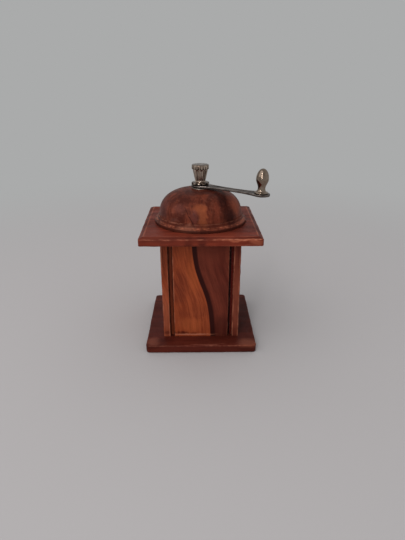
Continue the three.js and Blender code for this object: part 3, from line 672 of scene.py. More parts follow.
def front_arris(spot, across, y, z, half, level):
    """A wavering broken line along the upper arris, strongest at the right of the front."""
    wavering = z + (cloud(spot, 160.0, 2.0) - 0.5) * (2.4 * MM)
    arris = near(wavering, level, 0.7 * MM) * ranged(across, half - 1.6 * MM, half - 0.8 * MM)
    front = ranged(y, 0.8 * MM - half, 0.2 * MM - half, 0.3, 1.0)
    x, _, _ = parts_of(spot)
    front = front * ranged(x, 4 * MM, 22 * MM, 0.42, 1.0)
    return arris * broken(spot, 230.0, 0.40, 0.66) * front


def board_wood(name, tones, figure, shift, half, arris, edge_share, bevel_run=0.0):
    """Tones are deep, warm and streak colours. An arris is its level and its share."""
    deep, warm, streak = tones
    arris_level, arris_share = arris
    material, shader, spot = new_material(name)
    turned = stretched(spot, location=(shift, shift * 0.7, 0), rotation=GRAIN_LIES)
    fibre = use(FIBRE, Vector=turned, Along=0.06)
    colour = layered(blend(fibre["Bands"], deep, warm), (fibre["Streaks"], 0.5, streak))
    x, y, z = parts_of(spot)
    across = calc("MAXIMUM", abs(x), abs(y))
    if bevel_run:
        colour = bevel_shade_and_wear(spot, colour, across, z, half - bevel_run, arris_level)
    colour = figured(shaken(spot, 110.0, 6 * MM), colour, figure, fibre["Streaks"])
    pale = front_arris(spot, across, y, z, half, arris_level)
    colour = layered(colour, (pale, arris_share, RUBBED))
    oiled(shader, spot, colour, fibre, edge=(1.3 * MM, edge_share, 190.0), roughness=(0.40, 0.54))
    return material


TOP_WOOD = board_wood(
    "top_board_wood", ((88, 34, 23), (122, 50, 34), (76, 27, 19)), TOP_FIGURE, shift=0.11,
    half=TOP_HALF, arris=(TOP_HIGH.z - 1.4 * MM, 0.95), edge_share=0.45, bevel_run=TOP_BEVEL_RUN,
)
BASE_WOOD = board_wood(
    "base_board_wood", ((72, 26, 18), (88, 34, 24), (54, 18, 13)), BASE_FIGURE, shift=0.37,
    half=BASE_HALF, arris=(BASE_HIGH.z - 0.4 * MM, 0.3), edge_share=0.3,
)
print("board woods", TOP_WOOD.name, BASE_WOOD.name)

# %% [markdown]
# A board is a flat ring: a round hole inside and a square outside. It starts as the circle of the
# hole, with its points crowded towards the corners. The circle is extruded out onto the square
# and then along the profile of the board's edge, one loop for each point of the profile, as a
# moulding is run round a frame. The last loop goes back to the hole and is bridged to the first.
# A box with a hole cut by a boolean is quicker to write, but it has long thin faces, and the wear
# that bends the edges later needs corners at even steps.

# %% Squares and circles
BOARD_POINTS = 160
CROWDING = 0.85
LEAST_CORNER = 0.4 * MM


def angle_of(corner):
    return math.atan2(corner.co.y, corner.co.x)


def crowd_to_corners(corners):
    for corner in corners:
        turn = CROWDING * math.sin(4 * angle_of(corner)) / 4
        corner.co = Matrix.Rotation(turn, 4, "Z") @ corner.co


def square_reach(angle, half, corner_radius):
    """How far a square with round corners reaches from its middle at this angle."""
    across, along = sorted((abs(math.cos(angle)), abs(math.sin(angle))))
    side = half / along
    pivot = half - corner_radius
    if across * side <= pivot:
        return side
    toward = pivot * (across + along)
    return toward + math.sqrt(toward ** 2 - 2 * pivot ** 2 + corner_radius ** 2)


def set_reach(corners, height, reach):
    """Sets each corner to a height and to the reach that a function of its angle gives."""
    for corner in corners:
        angle = angle_of(corner)
        out = reach(angle)
        corner.co = Vector((out * math.cos(angle), out * math.sin(angle), height))


def set_square(corners, half, corner_radius, height):
    set_reach(corners, height, lambda angle: square_reach(angle, half, corner_radius))


def set_circle(corners, radius, height):
    set_reach(corners, height, lambda angle: radius)


print("round corners of 0.1 bring", round(square_reach(math.pi / 4, 1, 0.1), 3), "at 45 degrees")

# %% Board shape
BESIDE_ARRIS = 0.5 * MM
FLAT_RINGS = (14 * MM, 8 * MM, 4 * MM)


def next_loop(bm, edges):
    """Extrudes a loop of edges, and gives the new corners and the edges between them."""
    made = bmesh.ops.extrude_edge_only(bm, edges=edges)["geom"]
    corners = [part for part in made if isinstance(part, bmesh.types.BMVert)]
    kept = set(corners)
    new_edges = [part for part in made if isinstance(part, bmesh.types.BMEdge)]
    return corners, [edge for edge in new_edges if edge.verts[0] in kept and edge.verts[1] in kept]


def fill_flat(bm, edges):
    """Fills the flat between an outer loop and the loops of its holes."""
    bmesh.ops.triangle_fill(bm, edges=edges, use_beauty=True, use_dissolve=False)


def board(profile, half, corner_radius, hole_radius):
    bm = bmesh.new()
    hole = bmesh.ops.create_circle(
        bm, cap_ends=False, radius=hole_radius, segments=BOARD_POINTS,
    )["verts"]
    crowd_to_corners(hole)
    set_circle(hole, hole_radius, profile[0][1])
    first = bm.edges[:]
    loop = first
    for inset, height in profile:
        corners, loop = next_loop(bm, loop)
        set_square(corners, half - inset, max(corner_radius - inset, LEAST_CORNER), height)
    corners, loop = next_loop(bm, loop)
    set_circle(corners, hole_radius, profile[-1][1])
    bmesh.ops.bridge_loops(bm, edges=loop + first)
    return bm


def knock_about(bm, amount, size, seed):
    """Moves every corner along its normal by a smooth noise, as hand work and wear do."""
    bmesh.ops.recalc_face_normals(bm, faces=bm.faces[:])
    bm.normal_update()
    shift = Vector((seed, -seed, seed * 0.5))
    moves = [
        corner.normal * (noise.noise(corner.co / size + shift) * amount) for corner in bm.verts
    ]
    for corner, move in zip(bm.verts, moves):
        corner.co += move


print("corners in one loop of a board", BOARD_POINTS)


# %% [markdown]
# The base board is a plain slab with its corners rounded in plan and its arrises taken off with
# sandpaper. Its hole is the outlet of the mill, and it shows the grinder from below. The profile
# has one more loop just inside each arris, on the flat: it keeps the flat's shading flat. Four
# screws come up through the board, so its underside is opened again, a countersunk hole is spun
# for each screw, and the flat is filled round the outlet and the four rims.

# %% Base board
OUTLET_RADIUS = 20.7 * MM
BASE_CORNER = 3.2 * MM
BASE_EDGE = 1.0 * MM
SCREW_ROOM = [(3.9, 0), (3.9, 0.3), (2.05, 2.7), (2.05, 4.5), (0, 4.5)]  # radius, depth in mm
SCREW_SIDES = 32
BOARD_UNEVEN = 0.22 * MM


def lower_half(low, edge, steps):
    """A board's profile along its underside and round its lower arris."""
    points = [(ring, low) for ring in FLAT_RINGS] + [(edge + BESIDE_ARRIS, low)]
    return points + arc((edge, low + edge), edge, 270, 180, steps)


def base_profile():
    low, high = BASE_LOW.z, BASE_HIGH.z
    points = lower_half(low, BASE_EDGE, 5) + [(0, (low + high) / 2)]
    points += arc((BASE_EDGE, high - BASE_EDGE), BASE_EDGE, 180, 90, 5)
    points += [(BASE_EDGE + BESIDE_ARRIS, high)]
    return points + [(ring, high) for ring in FLAT_RINGS[::-1]]


def add_screw_holes(bm):
    low = BASE_LOW.z
    under = [face for face in bm.faces if max(one.co.z for one in face.verts) < low + WELD]
    bmesh.ops.delete(bm, geom=under, context="FACES")
    for number in range(1, 5):
        _, _, middle = box_of(f"base_screw_{number}")
        room = [(radius * MM, low + depth * MM) for radius, depth in SCREW_ROOM]
        made = spin_chain(bm, room, SCREW_SIDES)
        bmesh.ops.translate(bm, verts=made, vec=(middle.x - AXIS.x, middle.y - AXIS.y, 0))
    fill_flat(bm, [edge for edge in bm.edges if edge.is_boundary])


def base_board():
    bm = board(base_profile(), BASE_HALF, BASE_CORNER, OUTLET_RADIUS)
    add_screw_holes(bm)
    knock_about(bm, BOARD_UNEVEN, size=7 * MM, seed=3.1)
    for corner in bm.verts:
        corner.co.z = max(corner.co.z, 0)
    stand_in(bm, "base_board", "mill_body", BASE_WOOD)


base_board()

# %% [markdown]
# The top board is a little wider, with a flat bevel planed round its upper face. The arris
# between the bevel and the side is only just broken, so it catches the light and takes the knocks.
# A bevel operator would give both turns one roundness, so the profile is written out instead: a
# crisp turn at the shoulder and a softer one onto the flat.

# %% Top board
FILLER_RADIUS = 25.3 * MM
TOP_BEVEL_RISE = 1.5 * MM
TOP_CORNER = 1.6 * MM
TOP_EDGE = 0.6 * MM
SIDE_FOOT = 2.2 * MM
SHOULDER_TURN = [(0, -0.8), (0, -0.35), (0.08, -0.05), (0.32, 0.14), (0.75, 0.34)]
FLAT_TURN = [(-0.5, -0.24), (-0.1, -0.08), (0.3, 0), (0.9, 0)]
RING_SPREAD = 1.4  # how much further in the flat's rings lie than on the base board


def top_profile():
    """The turns at the shoulder and at the flat are given in mm from where they would meet."""
    low, high = TOP_LOW.z, TOP_HIGH.z
    points = lower_half(low, TOP_EDGE, 4) + [(0, low + SIDE_FOOT)]
    for inset, level, turn in (
        (0, high - TOP_BEVEL_RISE, SHOULDER_TURN), (TOP_BEVEL_RUN, high, FLAT_TURN),
    ):
        points += [(inset + inward * MM, level + up * MM) for inward, up in turn]
    return points + [(ring * RING_SPREAD, high) for ring in FLAT_RINGS[::-1]]


def top_board():
    bm = board(top_profile(), TOP_HALF, TOP_CORNER, FILLER_RADIUS)
    knock_about(bm, BOARD_UNEVEN, size=6 * MM, seed=8.4)
    stand_in(bm, "top_board", "mill_body", TOP_WOOD)


top_board()

# %% [markdown]
# The column is a square block with two grooves ploughed down each face. Its outline is one side,
# drawn as straight runs and spun in quarter turns, then extruded upwards in short lifts. Grooves
# cut from a plain box would do for a new mill, but wear has bent these edges, and it can only
# bend them where there are corners. The hopper inside is turned, and the flat between it and the
# outline is filled at both ends.

# %% Column outline
ARRIS = 0.8 * MM
NEAR_ARRIS = 0.7 * MM
RUN_STEP = 3.0 * MM


def flat_run(start, end):
    """Points along a flat from just inside its first arris to just inside its last."""
    inset = math.copysign(NEAR_ARRIS, end - start)
    first, last = start + inset, end - inset
    steps = max(1, round(abs(last - first) / RUN_STEP))
    return [start] + [first + (last - first) * share for share in shares(steps)] + [end]


def column_side():
    half = COLUMN_HALF
    post, panel = POST_WIDTH - half, POST_WIDTH + GROOVE_WIDTH - half
    sunk = half - GROOVE_DEPTH
    points = [(half - ARRIS, -half)]
    points += [(half, y) for y in flat_run(ARRIS - half, post)]
    points += [(sunk, post), (sunk, (post + panel) / 2), (sunk, panel)]
    points += [(half, y) for y in flat_run(panel, -panel)]
    points += [(sunk, -panel), (sunk, -(post + panel) / 2), (sunk, -post)]
    return points + [(half, y) for y in flat_run(-post, half - ARRIS)]


print("points on one side of the column", len(column_side()))

# %% Column
HOPPER_RADIUS = 22.0 * MM
SEAT_HEIGHT = 8.0 * MM
SLEEVE_RADIUS = 15.3 * MM
SLEEVE_HEIGHT = 18.3 * MM
FUNNEL_RISE = 10.5 * MM
COLUMN_LIFTS = 44
BORE_SIDES = 64
RIDGE_ANGLE = math.radians(30)
RIDGE_ROUND = 0.4 * MM
COLUMN_UNEVEN = 0.24 * MM


def column_block():
    bm = bmesh.new()
    corners = [bm.verts.new((x, y, COLUMN_LOW.z)) for x, y in column_side()]
    bmesh.ops.spin(
        bm, geom=corners + chained(bm, corners), cent=(0, 0, 0), axis=(0, 0, 1),
        angle=FULL_TURN * 3 / 4, steps=3, use_duplicate=True,
    )
    bmesh.ops.remove_doubles(bm, verts=bm.verts[:], dist=WELD)
    foot = bm.edges[:]
    loop = foot
    lift = (COLUMN_HIGH.z - COLUMN_LOW.z) / COLUMN_LIFTS
    for _ in range(COLUMN_LIFTS):
        raised, loop = next_loop(bm, loop)
        bmesh.ops.translate(bm, verts=raised, vec=(0, 0, lift))
    return bm, foot, loop


def add_bore(bm, foot, top):
    seat = COLUMN_LOW.z + SEAT_HEIGHT
    sleeve_top = seat + SLEEVE_HEIGHT
    spin_chain(bm, [
        (OUTLET_RADIUS, COLUMN_LOW.z), (OUTLET_RADIUS, seat), (SLEEVE_RADIUS, seat),
        (SLEEVE_RADIUS, sleeve_top), (HOPPER_RADIUS, sleeve_top + FUNNEL_RISE),
        (HOPPER_RADIUS, COLUMN_HIGH.z),
    ], BORE_SIDES)
    outer = set(foot) | set(top)
    rims = [edge for edge in bm.edges if edge.is_boundary and edge not in outer]
    fill_flat(bm, foot + [edge for edge in rims if edge.verts[0].co.z < seat])
    fill_flat(bm, top + [edge for edge in rims if edge.verts[0].co.z > seat])


def on_outside(edge):
    return min(math.hypot(*corner.co.xy) for corner in edge.verts) > HOPPER_RADIUS * 1.1


def column():
    bm, foot, top = column_block()
    add_bore(bm, foot, top)
    bmesh.ops.recalc_face_normals(bm, faces=bm.faces[:])
    ridges = [
        edge for edge in bm.edges
        if edge.is_manifold and edge.is_convex and edge.calc_face_angle(0) > RIDGE_ANGLE
        and on_outside(edge)
    ]
    bmesh.ops.bevel(
        bm, geom=ridges, offset=RIDGE_ROUND, offset_type="OFFSET", segments=3, profile=0.5,
        affect="EDGES", clamp_overlap=True, material=-1,
    )
    knock_about(bm, COLUMN_UNEVEN, size=5 * MM, seed=1.7)
    stand_in(bm, "column", "mill_body", COLUMN_WOOD)


column()

# %% [markdown]
# The lid was turned from a figured block, and its front shows an orange patch beside a drying
# crack, a dark band to the right of them that climbs to the crown, and brown mottling on the left.
# Turning cuts the same grain at every angle, so the figure is laid out in space and not round the
# surface. The crank arm's shadow is painted dark on the crown below it. The cove under the dome is
# painted darker as shade, the fillet above it gets a painted highlight, strongest on the left, the
# brim below it is rubbed pale, and the rim's lower half is painted dark again as shade.

# %% Figure of the lid, and the crank's painted shadow on it
LID_BROWN, LID_BROWN_LIGHT, LID_BROWN_DARK = (74, 31, 21), (114, 54, 37), (68, 27, 19)
FLECK, GLINT = (52, 22, 17), (130, 76, 60)
# The cove's and the rim's dark colours are painted shade.
COVE_SHADE, RIM_SHADE, CRACK_DIRT = (64, 24, 18), (54, 22, 17), (34, 13, 11)
# The fillet's pale colour is a painted highlight; the brim's is rubbed wear.
BRIM_RUBBED, FILLET_HIGHLIGHT = (168, 96, 70), (150, 94, 74)
LID_FIGURE_AND_SHADOW = [
    ((-29.5, -13, 119), (5, 9, 8), (90, 52, 50), 0.5),
    ((-23.5, -20, 122), (5, 7, 3), (58, 26, 22), 0.6),
    ((-10.5, -25, 124.5), (5, 6, 2.6), (60, 27, 22), 0.5),
    ((-17, -27, 119.5), (6, 5, 3.4), (124, 70, 60), 0.45),
    ((-20, -27, 113), (11, 7, 2.6), (66, 27, 21), 0.6),
    ((-29, -17, 114), (4, 7, 4), (58, 30, 28), 0.55),
    ((-20, -27.5, 110.3), (4.5, 5, 1.6), (92, 58, 52), 0.5),
    ((-9, -33.5, 108), (5, 5, 1.3), (138, 86, 68), 0.65),
    ((-1, -30, 120.5), (5.0, 6, 3.2), (150, 78, 48), 0.7),
    ((2.2, -33, 114), (3.6, 6, 8.5), (150, 78, 48), 0.75),
    ((-5.2, -33, 114.5), (2.4, 5, 5), (84, 40, 38), 0.6),
    ((5.9, -32, 115.5), (1.0, 6, 8), (80, 28, 22), 0.6),
    ((12.5, -30, 115.5), (2.2, 6, 10), (118, 54, 38), 0.6),
    # The dark band is wood, and near the crown under the arm it carries painted shadow too.
    ((18.0, -21, 123), (3.4, 12, 9), (40, 13, 10), 0.95),
    ((23, -25, 113), (6, 9, 6.5), (40, 13, 10), 0.95),
    ((28.8, -14, 120.5), (4.8, 9, 8.5), (150, 76, 52), 0.85),
    ((34, -13, 107), (5, 13, 5), (136, 70, 50), 0.55),
    ((-35, -12, 105.5), (5, 14, 3.5), (50, 24, 20), 0.6),
    ((-13, -36, 105.5), (8, 6, 3.5), (142, 86, 66), 0.75),
    # The next two dark patches are the crank arm's painted shadow on the crown.
    ((9, -12, 129), (7, 6, 3), (54, 22, 18), 0.75),
    ((14.5, -16, 126.5), (4.5, 6, 4), (44, 16, 13), 0.8),
    # Dark wood and painted shade on the crown beside the hub.
    ((-7, -13, 130), (11, 8, 3.5), (62, 32, 27), 0.65),
    ((4, 26, 120), (9, 10, 12), (146, 80, 54), 0.5),
    ((-22, 20, 118), (9, 10, 12), (66, 28, 24), 0.5),
    ((24, 16, 116), (6, 12, 12), (84, 36, 28), 0.5),
]
print("patches on the lid", len(LID_FIGURE_AND_SHADOW))

# %% Lid wood
LID_SHINE = 0.05
CRACK_LEVEL = 114.5 * MM
CRACK_MIDDLE = -8.6 * MM
CRACK_SLOPE = -0.56
CRACK_HALF = 0.16 * MM


def crack_mask(spot):
    """A thin wavering line down the front of the dome."""
    x, _, z = parts_of(shaken(spot, 170.0, 3.2 * MM))
    off = abs(x - ((z - CRACK_LEVEL) * CRACK_SLOPE + CRACK_MIDDLE))
    here = patch(spot, (-9, -31, 114), (9, 10, 7.5), 0.2)
    return ranged(off, CRACK_HALF * 2.2, CRACK_HALF) * here


def lid_brown(spot):
    """The lid's ground colour, with fine flecks and glints, before its figure."""
    leaning = stretched(shaken(spot, 45.0, 7 * MM), rotation=(0.25, 0.12, 0))
    fibre = use(FIBRE, Vector=leaning, Along=0.10)
    flecks = ranged(cloud(stretched(leaning, (1, 1, 0.26)), 620.0, 4.0, 0.7), 0.46, 0.66)
    slanting = stretched(spot, (1, 1, 2.2), rotation=(0, 0.5, 0))
    glints = ranged(cloud(slanting, 330.0, 2.0, 0.6), 0.52, 0.68)
    brown = layered(
        blend(fibre["Bands"], LID_BROWN, LID_BROWN_LIGHT),
        (fibre["Streaks"], 0.5, LID_BROWN_DARK), (flecks, 0.45, FLECK), (glints, 0.25, GLINT),
    )
    return brown, fibre, flecks


def lid_wood():
    material, shader, spot = new_material("lid_wood")
    brown, fibre, flecks = lid_brown(spot)
    colour = figured(shaken(spot, 210.0, 6 * MM), brown, LID_FIGURE_AND_SHADOW, fibre["Streaks"])
    x, _, z = parts_of(spot)
    up = z - TOP_HIGH.z
    in_cove = ranged(up, 7.4 * MM, 6.2 * MM) * ranged(up, 3.4 * MM, 4.4 * MM)
    brim = near(up, 3.2 * MM, 0.8 * MM) * broken(spot, 420.0, 0.42, 0.66)
    fillet = near(up, 5.9 * MM, 0.7 * MM) * broken(spot, 260.0, 0.40, 0.62)
    crack = crack_mask(spot)
    # Painted shade in the cove and on the rim's lower half, and a painted highlight on the fillet.
    colour = layered(
        colour, (flecks, 0.15, FLECK), (in_cove, 0.45, COVE_SHADE),
        (ranged(up, 2.7 * MM, 1.9 * MM), 0.8, RIM_SHADE), (brim, 0.6, BRIM_RUBBED),
        (fillet, ranged(x, 2 * MM, -12 * MM, 0.15, 0.5), FILLET_HIGHLIGHT), (crack, 0.85, CRACK_DIRT),
    )
    edge = (0.7 * MM, 0.25, 230.0)
    oiled(shader, spot, colour, fibre, edge, (0.34, 0.48), dent=crack, shine=LID_SHINE)
    return material


LID_WOOD = lid_wood()
print(LID_WOOD.name, "nodes", len(LID_WOOD.node_tree.nodes))

# %% [markdown]
# The lid's outline runs from the spigot that drops into the board, round the flange, through a
# cove and over a small fillet, up the dome, down the shaft's hole and back through the hollow.
# A half ball or a plain ellipse slopes away too soon, so the dome is a squared ellipse: a power
# above 2 fills out its shoulder.

# %% Lid outline
SPIGOT_RADIUS = 25.0 * MM
SPIGOT_BORE = 21.0 * MM
FLANGE_RIM = 2.9 * MM
FLANGE_ARRIS = 0.4 * MM
FLANGE_ROUND_RUN = 1.4 * MM
FLANGE_ROUND_RISE = 0.9 * MM
COVE_RUN = 1.5 * MM
COVE_RISE = 2.7 * MM
FILLET = 0.5 * MM
DOME_RADIUS = 34.4 * MM
DOME_FOOT = 4.2 * MM
DOME_RISE = 23.1 * MM
DOME_POWER = 2.6
DOME_STEPS = 40
CROWN_RADIUS = 7.6 * MM
SHAFT_BORE = 3.84 * MM
HOLLOW_WALL = 9.6 * MM
HOLLOW_RISE = 14.0 * MM
BORE_ARRIS = 0.4 * MM


def dome_point(angle):
    across = math.cos(angle) ** (2 / DOME_POWER)
    up = math.sin(angle) ** (2 / DOME_POWER)
    return DOME_RADIUS * across, TOP_HIGH.z + DOME_FOOT + DOME_RISE * up


def flange_points():
    """From the board's top round the flange and up the cove and the fillet."""
    rim = TOP_HIGH.z + FLANGE_RIM
    middle = FLANGE_RADIUS - FLANGE_ROUND_RUN
    fillet_foot = rim + COVE_RISE
    arris = (FLANGE_RADIUS - FLANGE_ARRIS, TOP_HIGH.z + FLANGE_ARRIS)
    points = arc(arris, FLANGE_ARRIS, -90, 0, 4)
    top = (middle, rim - FLANGE_ROUND_RISE)
    points += oval(top, FLANGE_ROUND_RUN, FLANGE_ROUND_RISE, 0, 90, 7)
    points += oval((middle, fillet_foot), COVE_RUN, COVE_RISE, 270, 180, 9)[1:]
    fillet = (middle - COVE_RUN - FILLET / 2, fillet_foot + FILLET / 2)
    return points + arc(fillet, FILLET / 2, 0, 90, 4)[1:]


def lid_outline():
    points = [(SPIGOT_BORE, LID_LOW.z), (SPIGOT_RADIUS, LID_LOW.z), (SPIGOT_RADIUS, TOP_HIGH.z)]
    points += flange_points()
    dome_start = FLANGE_RIM + COVE_RISE + FILLET - DOME_FOOT
    start = math.asin((dome_start / DOME_RISE) ** (DOME_POWER / 2))
    end = math.acos((CROWN_RADIUS / DOME_RADIUS) ** (DOME_POWER / 2))
    points += [dome_point(start + (end - start) * share) for share in shares(DOME_STEPS)]
    crown = points[-1][1]
    points += [(SHAFT_BORE + 0.9 * MM, crown), (SHAFT_BORE + BORE_ARRIS, crown)]
    points += [(SHAFT_BORE, crown - BORE_ARRIS), (SHAFT_BORE, crown - HOLLOW_WALL)]
    foot = (SHAFT_BORE, crown - HOLLOW_WALL - HOLLOW_RISE)
    return points + oval(foot, SPIGOT_BORE - SHAFT_BORE, HOLLOW_RISE, 90, 0, 12)[1:]


print("lid outline points", len(lid_outline()))

# %% Lid
LID_SIDES = 160
LID_UNEVEN = 0.05 * MM


def lid():
    bm = spun(lid_outline(), LID_SIDES, closed=True)
    knock_about(bm, LID_UNEVEN, size=6 * MM, seed=5.2)
    stand_in(bm, "lid", "lid", LID_WOOD)


lid()

# %% [markdown]
# The metal is nickel plate that has warmed and dulled with age, and an unplated steel arm that has
# gone darker. Both are metals all over: age is a change of colour and roughness, not of metalness.
# One function makes every metal, since they differ only in their tones, in how they were brushed
# and in where the dirt and the painted shade lie.

# %% Metal finishes
# A dark colour for both dirt and painted shade on the metal.
METAL_DIRT_AND_SHADE = (26, 17, 13)
PLATED = (0.18, 0.34)
METAL_EDGE = 0.35 * MM
METAL_DEPTH = 0.02 * MM
TARNISH_SCALE = 260.0


def metal(
    name, tones, roughness, grain=(1, 1, 1), turn=0.0, edge_share=0.6, dirt_and_shade=None, relief=0.35,
):
    """Tones are bright, dull and edge colours. A function masks dirt and painted shade."""
    bright, dull, edge = tones
    material, shader, spot = new_material(name)
    marks = use(MARKS, Vector=spot, Scale=150.0)
    scratch = marks["Scratch"]
    brushed = stretched(spot, grain, rotation=(0, 0, turn))
    tarnish = ranged(cloud(brushed, TARNISH_SCALE, 4.0, 0.6), 0.36, 0.66)
    worn = use(WORN_EDGE, Vector=spot, Width=METAL_EDGE, Breakup=400.0)["Mask"]
    colour = layered(
        blend(tarnish, bright, dull), (worn, edge_share, edge), (marks["Smudge"], 0.25, dull),
    )
    rougher = most(tarnish, scratch)
    if dirt_and_shade:
        lying = dirt_and_shade(spot)
        colour = layered(colour, (lying, 0.92, METAL_DIRT_AND_SHADE))
        rougher = most(rougher, lying)
    finish(shader, colour, rougher, roughness, tarnish - scratch, METAL_DEPTH, relief)
    shader.inputs["Metallic"].default_value = 1.0
    return material


# %% Painted shade and dirt on the metal


def from_axis(spot):
    """A point's distance from the shaft's axis, and its height."""
    x, y, z = parts_of(spot)
    return length_of(add("ShaderNodeCombineXYZ", {"X": x, "Y": y})), z


def hub_shadow_and_grime(spot):
    """Painted black shadow round the lower edge of the hub, and grime in the arm's sunk panel."""
    radius, z = from_axis(spot)
    # The hub's lower edge is painted black as the shadow in the gap over the plate.
    low = ranged(z, HUB_HIGH.z - 0.75 * MM, HUB_HIGH.z - 1.05 * MM)
    grime = patch(spot, (25, -13, 131), (16, 9, 3))
    return most(low * ranged(radius, 9.5 * MM, 8.0 * MM), grime * 0.3)


def plate_shadow(spot):
    """Painted shadow under the hub spreads over the plate and stops just short of its rim."""
    radius, _ = from_axis(spot)
    return ranged(radius, PLATE_RADIUS - 0.25 * MM, PLATE_RADIUS - 0.7 * MM)


# %% The metals
NICKEL_EDGE = (222, 210, 198)
NICKEL = metal("aged_nickel", ((206, 193, 180), (160, 145, 132), NICKEL_EDGE), PLATED)
PLATE_NICKEL = metal(
    "plate_nickel", ((206, 193, 180), (150, 136, 122), NICKEL_EDGE), PLATED, dirt_and_shade=plate_shadow,
)
ARM_STEEL = metal(
    "arm_steel", ((150, 138, 131), (70, 61, 57), (206, 199, 192)), (0.24, 0.46),
    grain=(0.22, 1, 1), turn=-CRANK_REST, dirt_and_shade=hub_shadow_and_grime,
)
FITTING_STEEL = metal(
    "fitting_steel", ((176, 176, 176), (140, 139, 137), (206, 206, 206)), (0.25, 0.42),
)
BURR_STEEL = metal("burr_steel", ((112, 109, 106), (78, 74, 71), (150, 148, 144)), (0.36, 0.58))
KNOB_NICKEL = metal(
    "knob_nickel", ((162, 145, 130), (132, 114, 99), (212, 198, 184)), (0.05, 0.09),
    edge_share=0.4, relief=0.02,
)
print("metals", [material.name for material in bpy.data.materials if "wood" not in material.name])

# %% [markdown]
# The nut is turned like the lid, and then milled: ten shallow flutes down its taper, ten round
# lobes at its foot, and a knurl of fine ribs on its cap that ends in a row of deeper teeth. Each
# of those is the distance that a cutter takes off at one place, so the turned corners are drawn in
# by a formula of their angle and height. A bump could draw the flutes, but the lobes and the teeth
# break the nut's outline, so all are cut into the shape. Where the cutter went deep, old polish
# and dirt stay, and painted shade darkens the same hollows. The top face is darker too.

# %% Sizes of the nut
NUT_FLUTES = 10
NUT_TEETH = 21
LOBE_TOP = 2.0 * MM
LOBE_RADIUS = 7.3 * MM
LOBE_CUT = 0.75 * MM
TAPER_FOOT = 3.0 * MM
TAPER_TOP = 12.2 * MM
TAPER_RADIUS = 6.3 * MM
TAPER_STEPS = 20
NECK_RADIUS = 4.3 * MM
FLUTE_CUT = 0.32 * MM
CAP_FOOT = 12.5 * MM
CAP_TOP = 15.1 * MM
CAP_RADIUS = 7.0 * MM
CAP_ARRIS = 0.25 * MM
CAP_STEPS = 10
CAP_ROUND = 0.9 * MM
CAP_CROWN = [(4.5, 16.02), (2.4, 16.12), (0, 16.15)]  # radius, height in mm
TOOTH_HEIGHT = 2.2 * MM
KNURL_SLANT = 1.5 / MM
NUT_BORE_RADIUS = 2.65 * MM
NUT_BORE_DEPTH = 11.3 * MM
NUT_RECESS = 1.2 * MM
print("nut with", NUT_FLUTES, "flutes and", NUT_TEETH, "teeth")

# %% Nut finish


def nut_dirt_and_shade(spot):
    """Dirt and painted shade in the flutes, by the lobes and between the teeth; a darker top."""
    radius, z = from_axis(spot)
    height = z - NUT_LOW.z
    taper = ranged(height, TAPER_FOOT, TAPER_TOP, NECK_RADIUS, TAPER_RADIUS, "LINEAR")
    flutes = ranged(taper - radius, 0.10 * MM, 0.26 * MM) * 0.6
    by_lobes = ranged(height, LOBE_TOP + 0.8 * MM, LOBE_TOP - 0.6 * MM)
    lobes = ranged(LOBE_RADIUS - radius, 0.02 * MM, 0.4 * MM, 0.5, 1.0)
    x, y, _ = parts_of(spot)
    phase = (calc("ARCTAN2", y, x) - CRANK_REST) * (NUT_TEETH / 2)
    tooth = abs(calc("COSINE", phase)) * -TOOTH_HEIGHT + (CAP_FOOT + TOOTH_HEIGHT)
    teeth = ranged(tooth - height, -0.15 * MM, 0.15 * MM)
    slant = height * KNURL_SLANT
    knurl = calc("SINE", phase + slant) * calc("SINE", phase - slant)
    # Flutes, lobes, teeth and knurl are darkened as dirt and painted shade; the top is darker.
    return most(
        between(height, TAPER_FOOT, TAPER_TOP) * flutes, by_lobes * lobes,
        ranged(height, CAP_TOP, CAP_TOP + 0.7 * MM, 0.0, 0.45),
        between(height, CAP_FOOT, CAP_TOP) * most(teeth, ranged(knurl, 0.1, 0.8, 0.0, 0.45)),
    )


NUT_NICKEL = metal(
    "nut_nickel", ((216, 197, 180), (124, 103, 88), (220, 206, 192)), (0.12, 0.26),
    grain=(1, 1, 0.15), edge_share=0.4, dirt_and_shade=nut_dirt_and_shade,
)
print(NUT_NICKEL.name, "nodes", len(NUT_NICKEL.node_tree.nodes))

# %% Adjusting nut
NUT_SIDES = 300
FOOT_FLAT = 6.9 * MM
FOOT_ROUND = 0.35 * MM
LOBE_ROUND = 0.75 * MM
LOBE_SIDE = (0.65 * MM, 1.15 * MM)  # the lobes are upright between these heights
NECK_RISE = 1.05 * MM
UNDER_CAP_ROUND = 0.4 * MM
EASE_UP, EASE_DOWN = 1.6 * MM, 0.9 * MM
RIB_CUT, TOOTH_CUT = 0.05 * MM, 0.28 * MM


